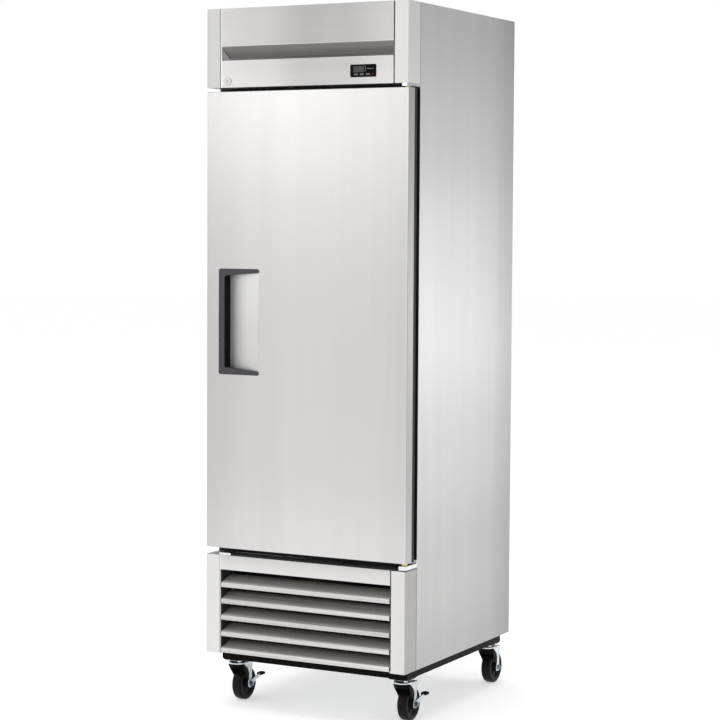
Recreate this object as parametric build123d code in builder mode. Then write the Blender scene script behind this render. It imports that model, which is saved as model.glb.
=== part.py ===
from build123d import *
import os
from math import cos, radians, sin

# Single-door reach-in refrigerator on casters. Millimetres, +Z up, the door faces -Y.
# The origin is on the floor, under the middle of the whole envelope. The rear wheels trail
# out behind the cabinet, so the cabinet itself sits a little forward of the origin.

# ---- driving dimensions ----------------------------------------------------------------
WIDTH = 686.0
CABINET_DEPTH = 750.0  # front of the corner trims to the back panel
TOP = 2134.0
SHEET = 1.0  # stainless sheet
WHEEL_R = 51.0
WHEEL_TRAIL = 38.0  # wheel centre behind the swivel axis
REAR_SWIVEL_INSET = 50.0  # rear swivel axis in from the back panel
RAIL_BOTTOM = 138.0  # mounting height of the casters

HALF_W = WIDTH / 2
ENVELOPE_DEPTH = CABINET_DEPTH - REAR_SWIVEL_INSET + WHEEL_TRAIL + WHEEL_R
FRONT = -ENVELOPE_DEPTH / 2
BACK = FRONT + CABINET_DEPTH
PANEL_FRONT = FRONT + 2  # door, header and grille sit 2 mm behind the corner trims
CABINET_FRONT = FRONT + 75  # sealing face of the insulated box

# levels above the floor
SIDE_BOTTOM = 168.0  # lower edge of the side panels and of the corner trims
GRILLE_TOP = 472.0
DOOR_BOTTOM, DOOR_TOP = 494.0, 1884.0
HEADER_BOTTOM = 1896.0
RECESS_BOTTOM, RECESS_DEEP, RECESS_TOP = 1977.0, 1986.0, 2020.0

# insulated box
LINER = 1.5
INNER_HALF_W = 287.0
FLOOR, OPENING_TOP, CEILING = 546.0, 1844.0, 2074.0
FACE_T = 4.0  # breaker frame thickness
FACE_BACK = CABINET_FRONT + FACE_T
THROAT = CABINET_FRONT + 34  # where the breaker frame hands over to the liner
INNER_BACK = BACK - 52
BULKHEAD_BACK = CABINET_FRONT + 50
JOINT_GAP = 0.2  # between separate sheets or slabs of one node

# front details
TRIM_W = 48.0
TRIM_INNER = HALF_W - TRIM_W
TRIM_BACK = CABINET_FRONT - 2  # the corner trims stop just short of the side panels
INFILL_HALF_W = TRIM_INNER - 3  # header and grille panels, with a narrow gap to the trims
HINGE_X, HINGE_Y = HALF_W - 14, FRONT + 22
PIN_R, BUSH_BORE_R, BUSH_R = 4.75, 4.80, 8.0
DOOR_METAL_BACK = PANEL_FRONT + 37
DOOR_FRAME_BACK = PANEL_FRONT + 53
GASKET_BACK = CABINET_FRONT - 0.7
GASKET_HALF_W = HALF_W - 28
GASKET_Z = (DOOR_BOTTOM + 24, DOOR_TOP - 24)
HANDLE_X = (-HALF_W + 43, -HALF_W + 184)
HANDLE_Z = (1027.0, 1349.0)
POCKET_DEPTH = 34.0
LOCK_X, LOCK_Z = -270.0, 1914.0
CAM_LENGTH, CAM_HALF_W = 42.0, 7.0
CONTROL_X = (150.0, 235.0)
CONTROL_Z = (1916.0, 1953.0)

# inside
SHELF_LEVELS = {"shelf_lower": 866.0, "shelf_middle": 1166.0, "shelf_upper": 1466.0}
PILASTER_Y = (-215.0, 235.0)
PILASTER_T = 4.0
EVAP_FAN = (0.0, 1972.0)
COND_FAN = (-70.0, 312.0)
PAN_TOP = SIDE_BOTTOM + 1.5

# casters
SWIVEL_X = HALF_W - 55
SWIVEL_Y = {"front": FRONT + 99, "rear": BACK - REAR_SWIVEL_INSET}
CASTERS = [
    (f"{end}_{side}", sign * SWIVEL_X, SWIVEL_Y[end], end == "front")
    for end in ("front", "rear")
    for side, sign in (("left", -1), ("right", 1))
]
AXLE_R, WHEEL_BORE_R = 4.75, 4.80

os.makedirs("parts", exist_ok=True)


def save(piece, label):
    """Label a finished piece and write it as its own STEP file."""
    piece.part.label = label
    export_step(piece.part, f"parts/{label}.step")


def block(x, y, z, mode=Mode.ADD):
    """A box given by its low and high limits along each axis."""
    with Locations(((x[0] + x[1]) / 2, (y[0] + y[1]) / 2, (z[0] + z[1]) / 2)):
        Box(x[1] - x[0], y[1] - y[0], z[1] - z[0], mode=mode)


def rod(start, end, radius, mode=Mode.ADD):
    """A round bar between two points."""
    run = Vector(*end) - Vector(*start)
    with Locations(Plane(origin=start, z_dir=run)):
        Cylinder(radius, run.length, align=(Align.CENTER, Align.CENTER, Align.MIN), mode=mode)


def facing(y):
    """Sketch plane parallel to the front, at depth y; extrusions run towards the front."""
    return Plane.XZ.offset(-y)


def folded_sheet(points, thickness, side):
    """Section of a folded sheet that follows the points."""
    fold = Wire.make_polygon(points, close=False)
    add(Face(fold.offset_2d(thickness, kind=Kind.INTERSECTION, side=side, closed=True)))


# ---- outer shell -----------------------------------------------------------------------
for side, sign in (("left", -1), ("right", 1)):
    with BuildPart() as side_panel:
        web = sorted((sign * HALF_W, sign * (HALF_W - SHEET)))
        flange = sorted((sign * HALF_W, sign * (HALF_W - 18)))
        block(web, (CABINET_FRONT, BACK - SHEET), (SIDE_BOTTOM, TOP - SHEET))
        block(flange, (BACK - 2 * SHEET, BACK - SHEET), (SIDE_BOTTOM, TOP - SHEET))
    save(side_panel, f"side_panel_{side}")

with BuildPart() as top_panel:
    block((-HALF_W, HALF_W), (CABINET_FRONT, BACK), (TOP - SHEET, TOP))
    block((1 - HALF_W, HALF_W - 1), (FACE_BACK - SHEET, FACE_BACK), (HEADER_BOTTOM, TOP - SHEET))
save(top_panel, "top_panel")

with BuildPart() as back_panel:
    block((3 - HALF_W, HALF_W - 3), (BACK - SHEET, BACK), (GRILLE_TOP + 4, TOP - SHEET))
save(back_panel, "back_panel")

GLAND_X, GLAND_Z = -280.0, 215.0
with BuildPart() as rear_grille:
    block((3 - HALF_W, HALF_W - 3), (BACK - SHEET, BACK), (SIDE_BOTTOM + 4, GRILLE_TOP))
    with BuildSketch(facing(BACK)):
        with Locations((20, 330)):
            with GridLocations(270, 16, 2, 14):
                SlotOverall(240, 7)
    extrude(amount=2 * SHEET, mode=Mode.SUBTRACT)
    with BuildSketch(facing(BACK)):
        with Locations((GLAND_X, GLAND_Z)):
            Circle(9.2)
    extrude(amount=2 * SHEET, mode=Mode.SUBTRACT)
save(rear_grille, "rear_grille")

with BuildPart() as cord_gland:
    with BuildSketch(facing(BACK + 9)):
        with Locations((GLAND_X, GLAND_Z)):
            Circle(12)
            Circle(5, mode=Mode.SUBTRACT)
    extrude(amount=8.8)
    with BuildSketch(facing(BACK + 0.2)):
        with Locations((GLAND_X, GLAND_Z)):
            Circle(9)
            Circle(5, mode=Mode.SUBTRACT)
    extrude(amount=14)
save(cord_gland, "cord_gland")

# ---- insulated box ---------------------------------------------------------------------
with BuildPart() as breaker_frame:
    for sign in (-1, 1):
        face = sorted((sign * (HALF_W - SHEET), sign * INNER_HALF_W))
        throat = sorted((sign * (INNER_HALF_W + LINER), sign * INNER_HALF_W))
        block(face, (CABINET_FRONT, FACE_BACK), (GRILLE_TOP, HEADER_BOTTOM))
        block(throat, (FACE_BACK, THROAT - JOINT_GAP), (FLOOR, OPENING_TOP))
    across = (JOINT_GAP - INNER_HALF_W, INNER_HALF_W - JOINT_GAP)
    block(across, (CABINET_FRONT, FACE_BACK), (OPENING_TOP, HEADER_BOTTOM))
    block(across, (FACE_BACK, THROAT - JOINT_GAP), (OPENING_TOP, OPENING_TOP + LINER))
    block(across, (CABINET_FRONT, FACE_BACK), (GRILLE_TOP, FLOOR))
    block(across, (FACE_BACK, THROAT - JOINT_GAP), (FLOOR - LINER, FLOOR))
save(breaker_frame, "breaker_frame")

with BuildPart() as inner_liner:
    to_back = INNER_BACK - JOINT_GAP
    for sign in (-1, 1):
        wall = sorted((sign * INNER_HALF_W, sign * (INNER_HALF_W + LINER)))
        block(wall, (THROAT, to_back), (FLOOR, CEILING))
    wide = (-INNER_HALF_W - LINER, INNER_HALF_W + LINER)
    block(wide, (INNER_BACK, INNER_BACK + LINER), (FLOOR - LINER, CEILING + LINER))
    block(across, (THROAT, to_back), (FLOOR - LINER, FLOOR))
    block(across, (BULKHEAD_BACK + JOINT_GAP, to_back), (CEILING, CEILING + LINER))
    block(across, (BULKHEAD_BACK - LINER, BULKHEAD_BACK), (OPENING_TOP, CEILING + LINER))
    block(across, (THROAT, BULKHEAD_BACK - LINER - JOINT_GAP), (OPENING_TOP, OPENING_TOP + LINER))
save(inner_liner, "inner_liner")

with BuildPart() as foam_insulation:
    low, high = GRILLE_TOP + 1, TOP - SHEET
    foam_back = BACK - 2 * SHEET
    for sign in (-1, 1):
        wall = sorted((sign * (INNER_HALF_W + LINER), sign * (HALF_W - SHEET)))
        block(wall, (FACE_BACK, foam_back), (low, high))
    core = (JOINT_GAP - INNER_HALF_W - LINER, INNER_HALF_W + LINER - JOINT_GAP)
    to_back = INNER_BACK + LINER - JOINT_GAP
    block(core, (INNER_BACK + LINER, foam_back), (low, high))
    block(core, (FACE_BACK, to_back), (low, FLOOR - LINER))
    block(core, (BULKHEAD_BACK + JOINT_GAP, to_back), (CEILING + LINER, high))
    block(across, (FACE_BACK, BULKHEAD_BACK - LINER), (OPENING_TOP + LINER, high))
save(foam_insulation, "foam_insulation")

# ---- header ----------------------------------------------------------------------------
CAM_SLOT_Y = (FRONT + 20, FRONT + 31)
CONTROL_C = (sum(CONTROL_X) / 2, sum(CONTROL_Z) / 2)
with BuildPart() as header_panel:
    with BuildSketch(Plane.YZ.offset(-INFILL_HALF_W)):
        folded_sheet(
            [
                (CABINET_FRONT - 5, HEADER_BOTTOM),
                (PANEL_FRONT, HEADER_BOTTOM),
                (PANEL_FRONT, RECESS_BOTTOM),
                (PANEL_FRONT + 12, RECESS_DEEP),
                (PANEL_FRONT, RECESS_TOP),
                (PANEL_FRONT, TOP),
                (CABINET_FRONT - 0.5, TOP),
            ],
            SHEET,
            Side.RIGHT,
        )
    extrude(amount=2 * INFILL_HALF_W)
    with BuildSketch(facing(PANEL_FRONT + 5)):
        with Locations(CONTROL_C):
            Rectangle(72, 30)
        with Locations((LOCK_X, LOCK_Z)):
            Circle(9.7)
    extrude(amount=6, mode=Mode.SUBTRACT)
    block((-281, -224), CAM_SLOT_Y, (HEADER_BOTTOM - 1, HEADER_BOTTOM + 2), Mode.SUBTRACT)
save(header_panel, "header_panel")


def corner_trims(z_low, z_high):
    """Left and right corner posts: boxes of sheet, open at the back."""
    for sign in (-1, 1):
        x = sorted((sign * HALF_W, sign * TRIM_INNER))
        with BuildPart(mode=Mode.PRIVATE) as post:
            block(x, (FRONT, TRIM_BACK), (z_low, z_high))
            fillet(post.edges().filter_by(Axis.Z).group_by(Axis.Y)[0], 3)
            offset(amount=-SHEET, openings=post.faces().sort_by(Axis.Y)[-1])
        add(post.part)


with BuildPart() as header_trims:
    corner_trims(HEADER_BOTTOM, TOP)
save(header_trims, "header_trims")

BUTTON_X = {"set_button": 169.0, "down_button": 188.0, "up_button": 209.0}
BUTTON_Z = CONTROL_Z[0] + 8
BUTTON_W, BUTTON_H = 13.0, 5.0
LENS_C, LENS_SIZE = (178.0, 1939.0), (36.0, 18.0)
with BuildPart() as controller_housing:
    with BuildSketch(facing(PANEL_FRONT)):
        with Locations(CONTROL_C):
            RectangleRounded(CONTROL_X[1] - CONTROL_X[0], CONTROL_Z[1] - CONTROL_Z[0], 4)
    extrude(amount=1.5)
    with BuildSketch(facing(PANEL_FRONT + 58)):
        with Locations(CONTROL_C):
            RectangleRounded(71, 29, 2)
    extrude(amount=58)
    with BuildSketch(facing(PANEL_FRONT - 0.8)):
        with Locations(LENS_C):
            Rectangle(*LENS_SIZE)
    extrude(amount=1, mode=Mode.SUBTRACT)
    with BuildSketch(facing(PANEL_FRONT + 0.7)):
        with Locations(*[(x, BUTTON_Z) for x in BUTTON_X.values()]):
            RectangleRounded(BUTTON_W + 0.8, BUTTON_H + 0.8, 2.4)
    extrude(amount=3, mode=Mode.SUBTRACT)
save(controller_housing, "controller_housing")

with BuildPart() as controller_lens:
    with BuildSketch(facing(PANEL_FRONT - 0.8)):
        with Locations(LENS_C):
            Rectangle(*LENS_SIZE)
    extrude(amount=1)
save(controller_lens, "controller_lens")

for label, x in BUTTON_X.items():
    with BuildPart() as button:
        with BuildSketch(facing(PANEL_FRONT)):
            with Locations((x, BUTTON_Z)):
                RectangleRounded(BUTTON_W, BUTTON_H, 2)
        extrude(amount=2)
    save(button, label)

with BuildPart() as lock_barrel:
    with BuildSketch(facing(PANEL_FRONT)):
        with Locations((LOCK_X, LOCK_Z)):
            Circle(12)
    extrude(amount=2)
    chamfer(lock_barrel.edges().group_by(Axis.Y)[0], 0.8)
    with BuildSketch(facing(FRONT + 24)):
        with Locations((LOCK_X, LOCK_Z)):
            Circle(9.5)
    extrude(amount=22)
    with BuildSketch(facing(FRONT + 24)):
        with Locations((LOCK_X, LOCK_Z)):
            Circle(6.05)
    extrude(amount=30, mode=Mode.SUBTRACT)
save(lock_barrel, "lock_barrel")

with BuildPart() as lock_plug:
    with BuildSketch(facing(FRONT + 27)):
        with Locations((LOCK_X, LOCK_Z)):
            Circle(6)
    extrude(amount=26.6)
    block((LOCK_X - 0.7, LOCK_X + 0.7), (FRONT, FRONT + 10), (LOCK_Z - 4, LOCK_Z + 4), Mode.SUBTRACT)
    with BuildSketch(facing(FRONT + 27)):
        with Locations((LOCK_X + (CAM_LENGTH - CAM_HALF_W) / 2, LOCK_Z)):
            SlotOverall(CAM_LENGTH + CAM_HALF_W, 2 * CAM_HALF_W)
    extrude(amount=2.5)
save(lock_plug, "lock_plug")

# ---- machine compartment front ---------------------------------------------------------
with BuildPart() as grille_trims:
    corner_trims(SIDE_BOTTOM, GRILLE_TOP)
save(grille_trims, "grille_trims")

BAND_BOTTOM = GRILLE_TOP - 45
LOUVER_COUNT, LOUVER_PITCH, LOUVER_FIRST = 5, 50.5, 170.0
with BuildPart() as front_grille:
    with BuildSketch(Plane.YZ.offset(-INFILL_HALF_W)):
        folded_sheet(
            [
                (PANEL_FRONT + 12, BAND_BOTTOM),
                (PANEL_FRONT, BAND_BOTTOM),
                (PANEL_FRONT, GRILLE_TOP),
                (CABINET_FRONT - 5, GRILLE_TOP),
            ],
            SHEET,
            Side.RIGHT,
        )
    extrude(amount=2 * INFILL_HALF_W)
    with BuildSketch(Plane.YZ.offset(-INFILL_HALF_W)):
        for i in range(LOUVER_COUNT):
            lip = LOUVER_FIRST + i * LOUVER_PITCH
            folded_sheet(
                [
                    (PANEL_FRONT + 7, lip + 3),
                    (PANEL_FRONT + 3, lip),
                    (PANEL_FRONT, lip + 3),
                    (PANEL_FRONT, lip + 13),
                    (PANEL_FRONT + 4, lip + 17),
                    (PANEL_FRONT + 57, lip + 30),
                ],
                1.2,
                Side.RIGHT,
            )
    extrude(amount=2 * INFILL_HALF_W)
    for sign in (-1, 1):
        hanger = sorted((sign * INFILL_HALF_W, sign * (INFILL_HALF_W - 2)))
        block(hanger, (PANEL_FRONT + 6, PANEL_FRONT + 60), (LOUVER_FIRST + 2, GRILLE_TOP - 0.5))
save(front_grille, "front_grille")

# ---- base ------------------------------------------------------------------------------
RAIL_X = (HALF_W - 102, HALF_W - 22)
RAIL_Y = (FRONT + 62, BACK - 20)
RAIL_T = 3.0
CROSS_RAIL_W = 45.0


def channel(x, y):
    """Upward-open channel: a bottom plate and a web along each long side."""
    block(x, y, (RAIL_BOTTOM, RAIL_BOTTOM + RAIL_T))
    if x[1] - x[0] < y[1] - y[0]:
        webs = [((x[0], x[0] + RAIL_T), y), ((x[1] - RAIL_T, x[1]), y)]
    else:
        webs = [(x, (y[0], y[0] + RAIL_T)), (x, (y[1] - RAIL_T, y[1]))]
    for web_x, web_y in webs:
        block(web_x, web_y, (RAIL_BOTTOM, SIDE_BOTTOM))


with BuildPart() as base_frame:
    across_frame = (-RAIL_X[1], RAIL_X[1])
    between = (RAIL_Y[0] + CROSS_RAIL_W + JOINT_GAP, RAIL_Y[1] - CROSS_RAIL_W - JOINT_GAP)
    channel(across_frame, (RAIL_Y[0], RAIL_Y[0] + CROSS_RAIL_W))
    channel(across_frame, (RAIL_Y[1] - CROSS_RAIL_W, RAIL_Y[1]))
    channel(RAIL_X, between)
    channel((-RAIL_X[1], -RAIL_X[0]), between)
save(base_frame, "base_frame")

with BuildPart() as base_pan:
    block((1.2 - HALF_W, HALF_W - 1.2), (CABINET_FRONT + 1, BACK - 3), (SIDE_BOTTOM, PAN_TOP))
save(base_pan, "base_pan")

# ---- door ------------------------------------------------------------------------------
POCKET_X = (HANDLE_X[0] + 3, HANDLE_X[1])
POCKET_Z = (HANDLE_Z[0] + 3, HANDLE_Z[1] - 3)
POCKET_FLAT_X = HANDLE_X[0] + 22  # the floor is level up to here, then slopes out to the skin
POCKET_BACK = PANEL_FRONT + POCKET_DEPTH
POCKET_LIP_X = POCKET_X[1] - 0.5
CAM_POCKET_X, CAM_POCKET_BOTTOM = (-281, -236), 1868.0
BUSH_DEPTH = 26.0

with BuildPart() as door_outer_pan:
    block((-HALF_W, HALF_W), (PANEL_FRONT, DOOR_METAL_BACK), (DOOR_BOTTOM, DOOR_TOP))
    fillet(door_outer_pan.edges().group_by(Axis.Y)[0], 1.5)
    offset(amount=-SHEET, openings=door_outer_pan.faces().sort_by(Axis.Y)[-1])
    block(POCKET_X, (PANEL_FRONT - 1, PANEL_FRONT + 3), POCKET_Z, Mode.SUBTRACT)
    block(CAM_POCKET_X, CAM_SLOT_Y, (DOOR_TOP - 3, DOOR_TOP + 1), Mode.SUBTRACT)
    for z in (DOOR_BOTTOM - 1, DOOR_TOP - 3):
        with BuildSketch(Plane.XY.offset(z)):
            with Locations((HINGE_X, HINGE_Y)):
                Circle(BUSH_R + 0.1)
        extrude(amount=4, mode=Mode.SUBTRACT)
save(door_outer_pan, "door_outer_pan")

with BuildPart() as door_edge_frame:
    outer, inner, hidden = HALF_W, HALF_W - 2, HALF_W - 24
    with BuildSketch(facing(DOOR_FRAME_BACK)):
        with Locations((0, (DOOR_BOTTOM + DOOR_TOP) / 2)):
            Rectangle(2 * outer, DOOR_TOP - DOOR_BOTTOM)
            Rectangle(2 * inner, DOOR_TOP - DOOR_BOTTOM - 4, mode=Mode.SUBTRACT)
    extrude(amount=DOOR_FRAME_BACK - DOOR_METAL_BACK)
    with BuildSketch(facing(DOOR_FRAME_BACK)):
        with Locations((0, (DOOR_BOTTOM + DOOR_TOP) / 2)):
            Rectangle(2 * outer, DOOR_TOP - DOOR_BOTTOM)
            Rectangle(2 * hidden, DOOR_TOP - DOOR_BOTTOM - 48, mode=Mode.SUBTRACT)
    extrude(amount=2)
save(door_edge_frame, "door_edge_frame")

with BuildPart() as door_foam:
    edge = HALF_W - SHEET
    block((-edge, edge), (PANEL_FRONT + SHEET, DOOR_METAL_BACK), (DOOR_BOTTOM + SHEET, DOOR_TOP - SHEET))
    fillet(door_foam.edges().group_by(Axis.Y)[0], 1.5)
    block((2 - HALF_W, HALF_W - 2), (DOOR_METAL_BACK, DOOR_FRAME_BACK - 2), (DOOR_BOTTOM + 2, DOOR_TOP - 2))
    with BuildSketch(Plane.XY.offset(POCKET_Z[0] - 1)):
        with BuildLine():
            Polyline(
                (POCKET_X[0] - 1, PANEL_FRONT),
                (POCKET_X[0] - 1, POCKET_BACK + 1.5 * SHEET),
                (POCKET_FLAT_X, POCKET_BACK + 1.5 * SHEET),
                (POCKET_X[1] + 6, PANEL_FRONT),
                close=True,
            )
        make_face()
    extrude(amount=POCKET_Z[1] - POCKET_Z[0] + 2, mode=Mode.SUBTRACT)
    block(CAM_POCKET_X, CAM_SLOT_Y, (CAM_POCKET_BOTTOM, DOOR_TOP), Mode.SUBTRACT)
    for z in (DOOR_BOTTOM, DOOR_TOP - BUSH_DEPTH - 1):
        with BuildSketch(Plane.XY.offset(z)):
            with Locations((HINGE_X, HINGE_Y)):
                Circle(BUSH_R + 0.1)
        extrude(amount=BUSH_DEPTH + 1, mode=Mode.SUBTRACT)
save(door_foam, "door_foam")

with BuildPart() as door_inner_panel:
    mid = (0, (DOOR_BOTTOM + DOOR_TOP) / 2)
    flat_h = DOOR_TOP - DOOR_BOTTOM - 48
    with BuildSketch(facing(DOOR_FRAME_BACK - 0.8)):
        with Locations(mid):
            Rectangle(2 * (HALF_W - 24), flat_h)
    extrude(amount=1.2)
    with BuildSketch(facing(DOOR_FRAME_BACK - 0.8)):
        with Locations(mid):
            RectangleRounded(2 * 268, flat_h - 100, 12)
    extrude(amount=-12.8, taper=35)
    with BuildSketch(facing(DOOR_FRAME_BACK - 2)):
        with Locations(mid):
            RectangleRounded(2 * 267, flat_h - 102, 11)
    extrude(amount=-13, taper=35, mode=Mode.SUBTRACT)
save(door_inner_panel, "door_inner_panel")

with BuildPart() as door_gasket:
    gasket_mid = (0, sum(GASKET_Z) / 2)
    gasket_h = GASKET_Z[1] - GASKET_Z[0]
    depth = GASKET_BACK - DOOR_FRAME_BACK
    # dart base, narrow bellows and magnet head, from the door outwards
    for start, thick, inset, wide in ((0, 5, 0, 25), (5, depth - 11, 5, 14), (depth - 6, 6, 1, 22)):
        with BuildSketch(facing(DOOR_FRAME_BACK + start + thick)):
            with Locations(gasket_mid):
                RectangleRounded(2 * (GASKET_HALF_W - inset), gasket_h - 2 * inset, 3)
                Rectangle(
                    2 * (GASKET_HALF_W - inset - wide), gasket_h - 2 * (inset + wide), mode=Mode.SUBTRACT
                )
        extrude(amount=thick)
save(door_gasket, "door_gasket")

with BuildPart() as handle_pocket:
    with BuildSketch(Plane.XY.offset(POCKET_Z[0] + 0.1)):
        folded_sheet(
            [
                (POCKET_X[0] + 0.1, POCKET_BACK),
                (POCKET_FLAT_X, POCKET_BACK),
                (POCKET_LIP_X, PANEL_FRONT + 0.3),
            ],
            SHEET,
            Side.LEFT,
        )
    extrude(amount=POCKET_Z[1] - POCKET_Z[0] - 0.2)
save(handle_pocket, "handle_pocket")


def c_frame(grow):
    """Handle outline: an upright, with an arm at each end that narrows to a round tip."""
    x0, x1 = HANDLE_X[0] - grow, HANDLE_X[1]
    z0, z1 = HANDLE_Z[0] - grow, HANDLE_Z[1] + grow
    with BuildSketch(mode=Mode.PRIVATE) as outline:
        with BuildLine():
            Polyline(
                (x0, z0),
                (x1, z0),
                (x1, z0 + 12 + grow),
                (x0 + 20 + grow, z0 + 21 + grow),
                (x0 + 20 + grow, z1 - 21 - grow),
                (x1, z1 - 12 - grow),
                (x1, z1),
                (x0, z1),
                close=True,
            )
        make_face()
        fillet(outline.vertices().group_by(Axis.X)[-1], 5.4 + grow / 2)
        fillet(outline.vertices().group_by(Axis.X)[0], 6)
        fillet(outline.vertices().filter_by_position(Axis.X, x0 + 19, x0 + 24), 7)
    return outline.sketch


with BuildPart() as handle_bezel:
    with BuildSketch(facing(PANEL_FRONT)):
        add(c_frame(0))
    extrude(amount=2)
    fillet(handle_bezel.edges().group_by(Axis.Y)[0], 0.6)
    # the inner walls run down to the pocket floor and stop on its slope
    with BuildSketch(facing(POCKET_BACK)):
        add(c_frame(-3))
    extrude(amount=POCKET_DEPTH)
    with BuildSketch(Plane.XY.offset(HANDLE_Z[0] - 5)):
        with BuildLine():
            Polyline(
                (POCKET_X[0] - 5, POCKET_BACK),
                (POCKET_FLAT_X, POCKET_BACK),
                (POCKET_LIP_X, PANEL_FRONT + 0.3),
                (POCKET_X[1] + 20, PANEL_FRONT + 0.3),
                (POCKET_X[1] + 20, POCKET_BACK + 5),
                (POCKET_X[0] - 5, POCKET_BACK + 5),
                close=True,
            )
        make_face()
    extrude(amount=HANDLE_Z[1] - HANDLE_Z[0] + 10, mode=Mode.SUBTRACT)
save(handle_bezel, "handle_bezel")

# ---- door hinges -----------------------------------------------------------------------
BRACKET_X = (HINGE_X - 13, HALF_W)
BRACKET_BOTTOM, BRACKET_TOP = GRILLE_TOP + 3, GRILLE_TOP + 15
UPPER_PLATE = (HEADER_BOTTOM - 8.5, HEADER_BOTTOM - 0.3)
PIN_LENGTH = 28.0

with BuildPart() as door_bushings:
    # lower bush: brass collar under the door; upper bush: thin flange on top of it
    for foot, collar, sleeve in (
        (BRACKET_TOP + 0.4, DOOR_BOTTOM - BRACKET_TOP - 0.4, DOOR_BOTTOM),
        (DOOR_TOP, 2.4, DOOR_TOP - BUSH_DEPTH),
    ):
        with BuildSketch(Plane.XY.offset(foot)):
            with Locations((HINGE_X, HINGE_Y)):
                Circle(BUSH_R + 1)
        extrude(amount=collar)
        with BuildSketch(Plane.XY.offset(sleeve)):
            with Locations((HINGE_X, HINGE_Y)):
                Circle(BUSH_R)
        extrude(amount=BUSH_DEPTH)
    for z in (BRACKET_TOP, DOOR_TOP - BUSH_DEPTH - 1):
        with BuildSketch(Plane.XY.offset(z)):
            with Locations((HINGE_X, HINGE_Y)):
                Circle(BUSH_BORE_R)
        extrude(amount=60, mode=Mode.SUBTRACT)
save(door_bushings, "door_bushings")


def hinge_plate(z_low, z_high):
    """Bracket leaf that reaches forward from the cabinet face, with a rounded outer corner."""
    with BuildPart(mode=Mode.PRIVATE) as leaf:
        block(BRACKET_X, (PANEL_FRONT - 1, CABINET_FRONT - 0.2), (z_low, z_high))
        fillet(leaf.edges().filter_by(Axis.Z).group_by(Axis.Y)[0], 8)
    add(leaf.part)


with BuildPart() as hinge_brackets:
    hinge_plate(BRACKET_BOTTOM, BRACKET_TOP)
    with Locations(((BRACKET_X[0] + BRACKET_X[1]) / 2, (PANEL_FRONT + CABINET_FRONT) / 2, BRACKET_BOTTOM)):
        Box(20, 60, 18, mode=Mode.SUBTRACT)
    block(BRACKET_X, (CABINET_FRONT - 3.5, CABINET_FRONT - 0.2), (BRACKET_TOP - 1, DOOR_BOTTOM + 4))
    with BuildSketch(Plane.XY.offset(BRACKET_TOP)):
        with Locations((HINGE_X, HINGE_Y)):
            Circle(PIN_R)
    extrude(amount=PIN_LENGTH)
    hinge_plate(*UPPER_PLATE)
    with BuildSketch(Plane.XY.offset(UPPER_PLATE[0] - PIN_LENGTH + 5)):
        with Locations((HINGE_X, HINGE_Y)):
            Circle(PIN_R)
    extrude(amount=PIN_LENGTH - 5)
    # unused leaf of the other door hand, left on the lower left corner
    block((-HALF_W + 46, -HALF_W + 86), (PANEL_FRONT + 1, PANEL_FRONT + 40), (GRILLE_TOP + 0.3, GRILLE_TOP + 7))
save(hinge_brackets, "hinge_brackets")

# ---- interior --------------------------------------------------------------------------
SLOT_PITCH, SLOT_COUNT = 25.0, 50
PILASTER_BOTTOM = FLOOR + 14
SHELF_HALF_W, SHELF_Y = 278.0, (-262.0, 296.0)
FRAME_WIRE_R, WIRE_R, BEARER_R = 4.0, 2.3, 3.0
WIRE_COUNT = 21

with BuildPart() as shelf_pilasters:
    for sign in (-1, 1):
        strip = sorted((sign * INNER_HALF_W, sign * (INNER_HALF_W - PILASTER_T)))
        for y in PILASTER_Y:
            z_high = PILASTER_BOTTOM + SLOT_PITCH * (SLOT_COUNT + 0.5)
            block(strip, (y - 9, y + 9), (PILASTER_BOTTOM, z_high))
        slots = [
            (sum(strip) / 2, y, PILASTER_BOTTOM + SLOT_PITCH * (i + 0.75))
            for y in PILASTER_Y
            for i in range(SLOT_COUNT)
        ]
        with Locations(*slots):
            Box(2 * PILASTER_T, 9, 4, mode=Mode.SUBTRACT)
save(shelf_pilasters, "shelf_pilasters")

with BuildPart() as shelf_clips:
    for level in SHELF_LEVELS.values():
        for sign in (-1, 1):
            for y in PILASTER_Y:
                face = INNER_HALF_W - PILASTER_T
                arm = sorted((sign * face, sign * (face - 14)))
                plate = sorted((sign * face, sign * (face - 1.6)))
                block(arm, (y - 6, y + 6), (level - FRAME_WIRE_R - 2, level - FRAME_WIRE_R))
                block(plate, (y - 6, y + 6), (level - FRAME_WIRE_R - 20, level - FRAME_WIRE_R))
save(shelf_clips, "shelf_clips")

with BuildPart() as shelf_wires:
    x, (y0, y1) = SHELF_HALF_W - FRAME_WIRE_R, SHELF_Y
    corners = [(-x, y0, 0), (x, y0, 0), (x, y1, 0), (-x, y1, 0)]
    for i, corner in enumerate(corners):
        rod(corner, corners[(i + 1) % 4], FRAME_WIRE_R)
        with Locations(corner):
            Sphere(FRAME_WIRE_R)
    for i in range(WIRE_COUNT):
        wire_x = x * (2 * (i + 1) / (WIRE_COUNT + 1) - 1)
        rod((wire_x, y0, 3), (wire_x, y1, 3), WIRE_R)
    for bearer_y in (y0 + (y1 - y0) / 3, y0 + 2 * (y1 - y0) / 3):
        rod((-x, bearer_y, -1.5), (x, bearer_y, -1.5), BEARER_R)

for label, level in SHELF_LEVELS.items():
    with BuildPart() as shelf:
        with Locations((0, 0, level)):
            add(shelf_wires.part)
    save(shelf, label)

with BuildPart() as interior_light:
    block((-150, 150), (BULKHEAD_BACK + 0.3, BULKHEAD_BACK + 18), (OPENING_TOP + 6, OPENING_TOP + 24))
    fillet(interior_light.edges().filter_by(Axis.X).group_by(Axis.Y)[-1], 7)
save(interior_light, "interior_light")


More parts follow.
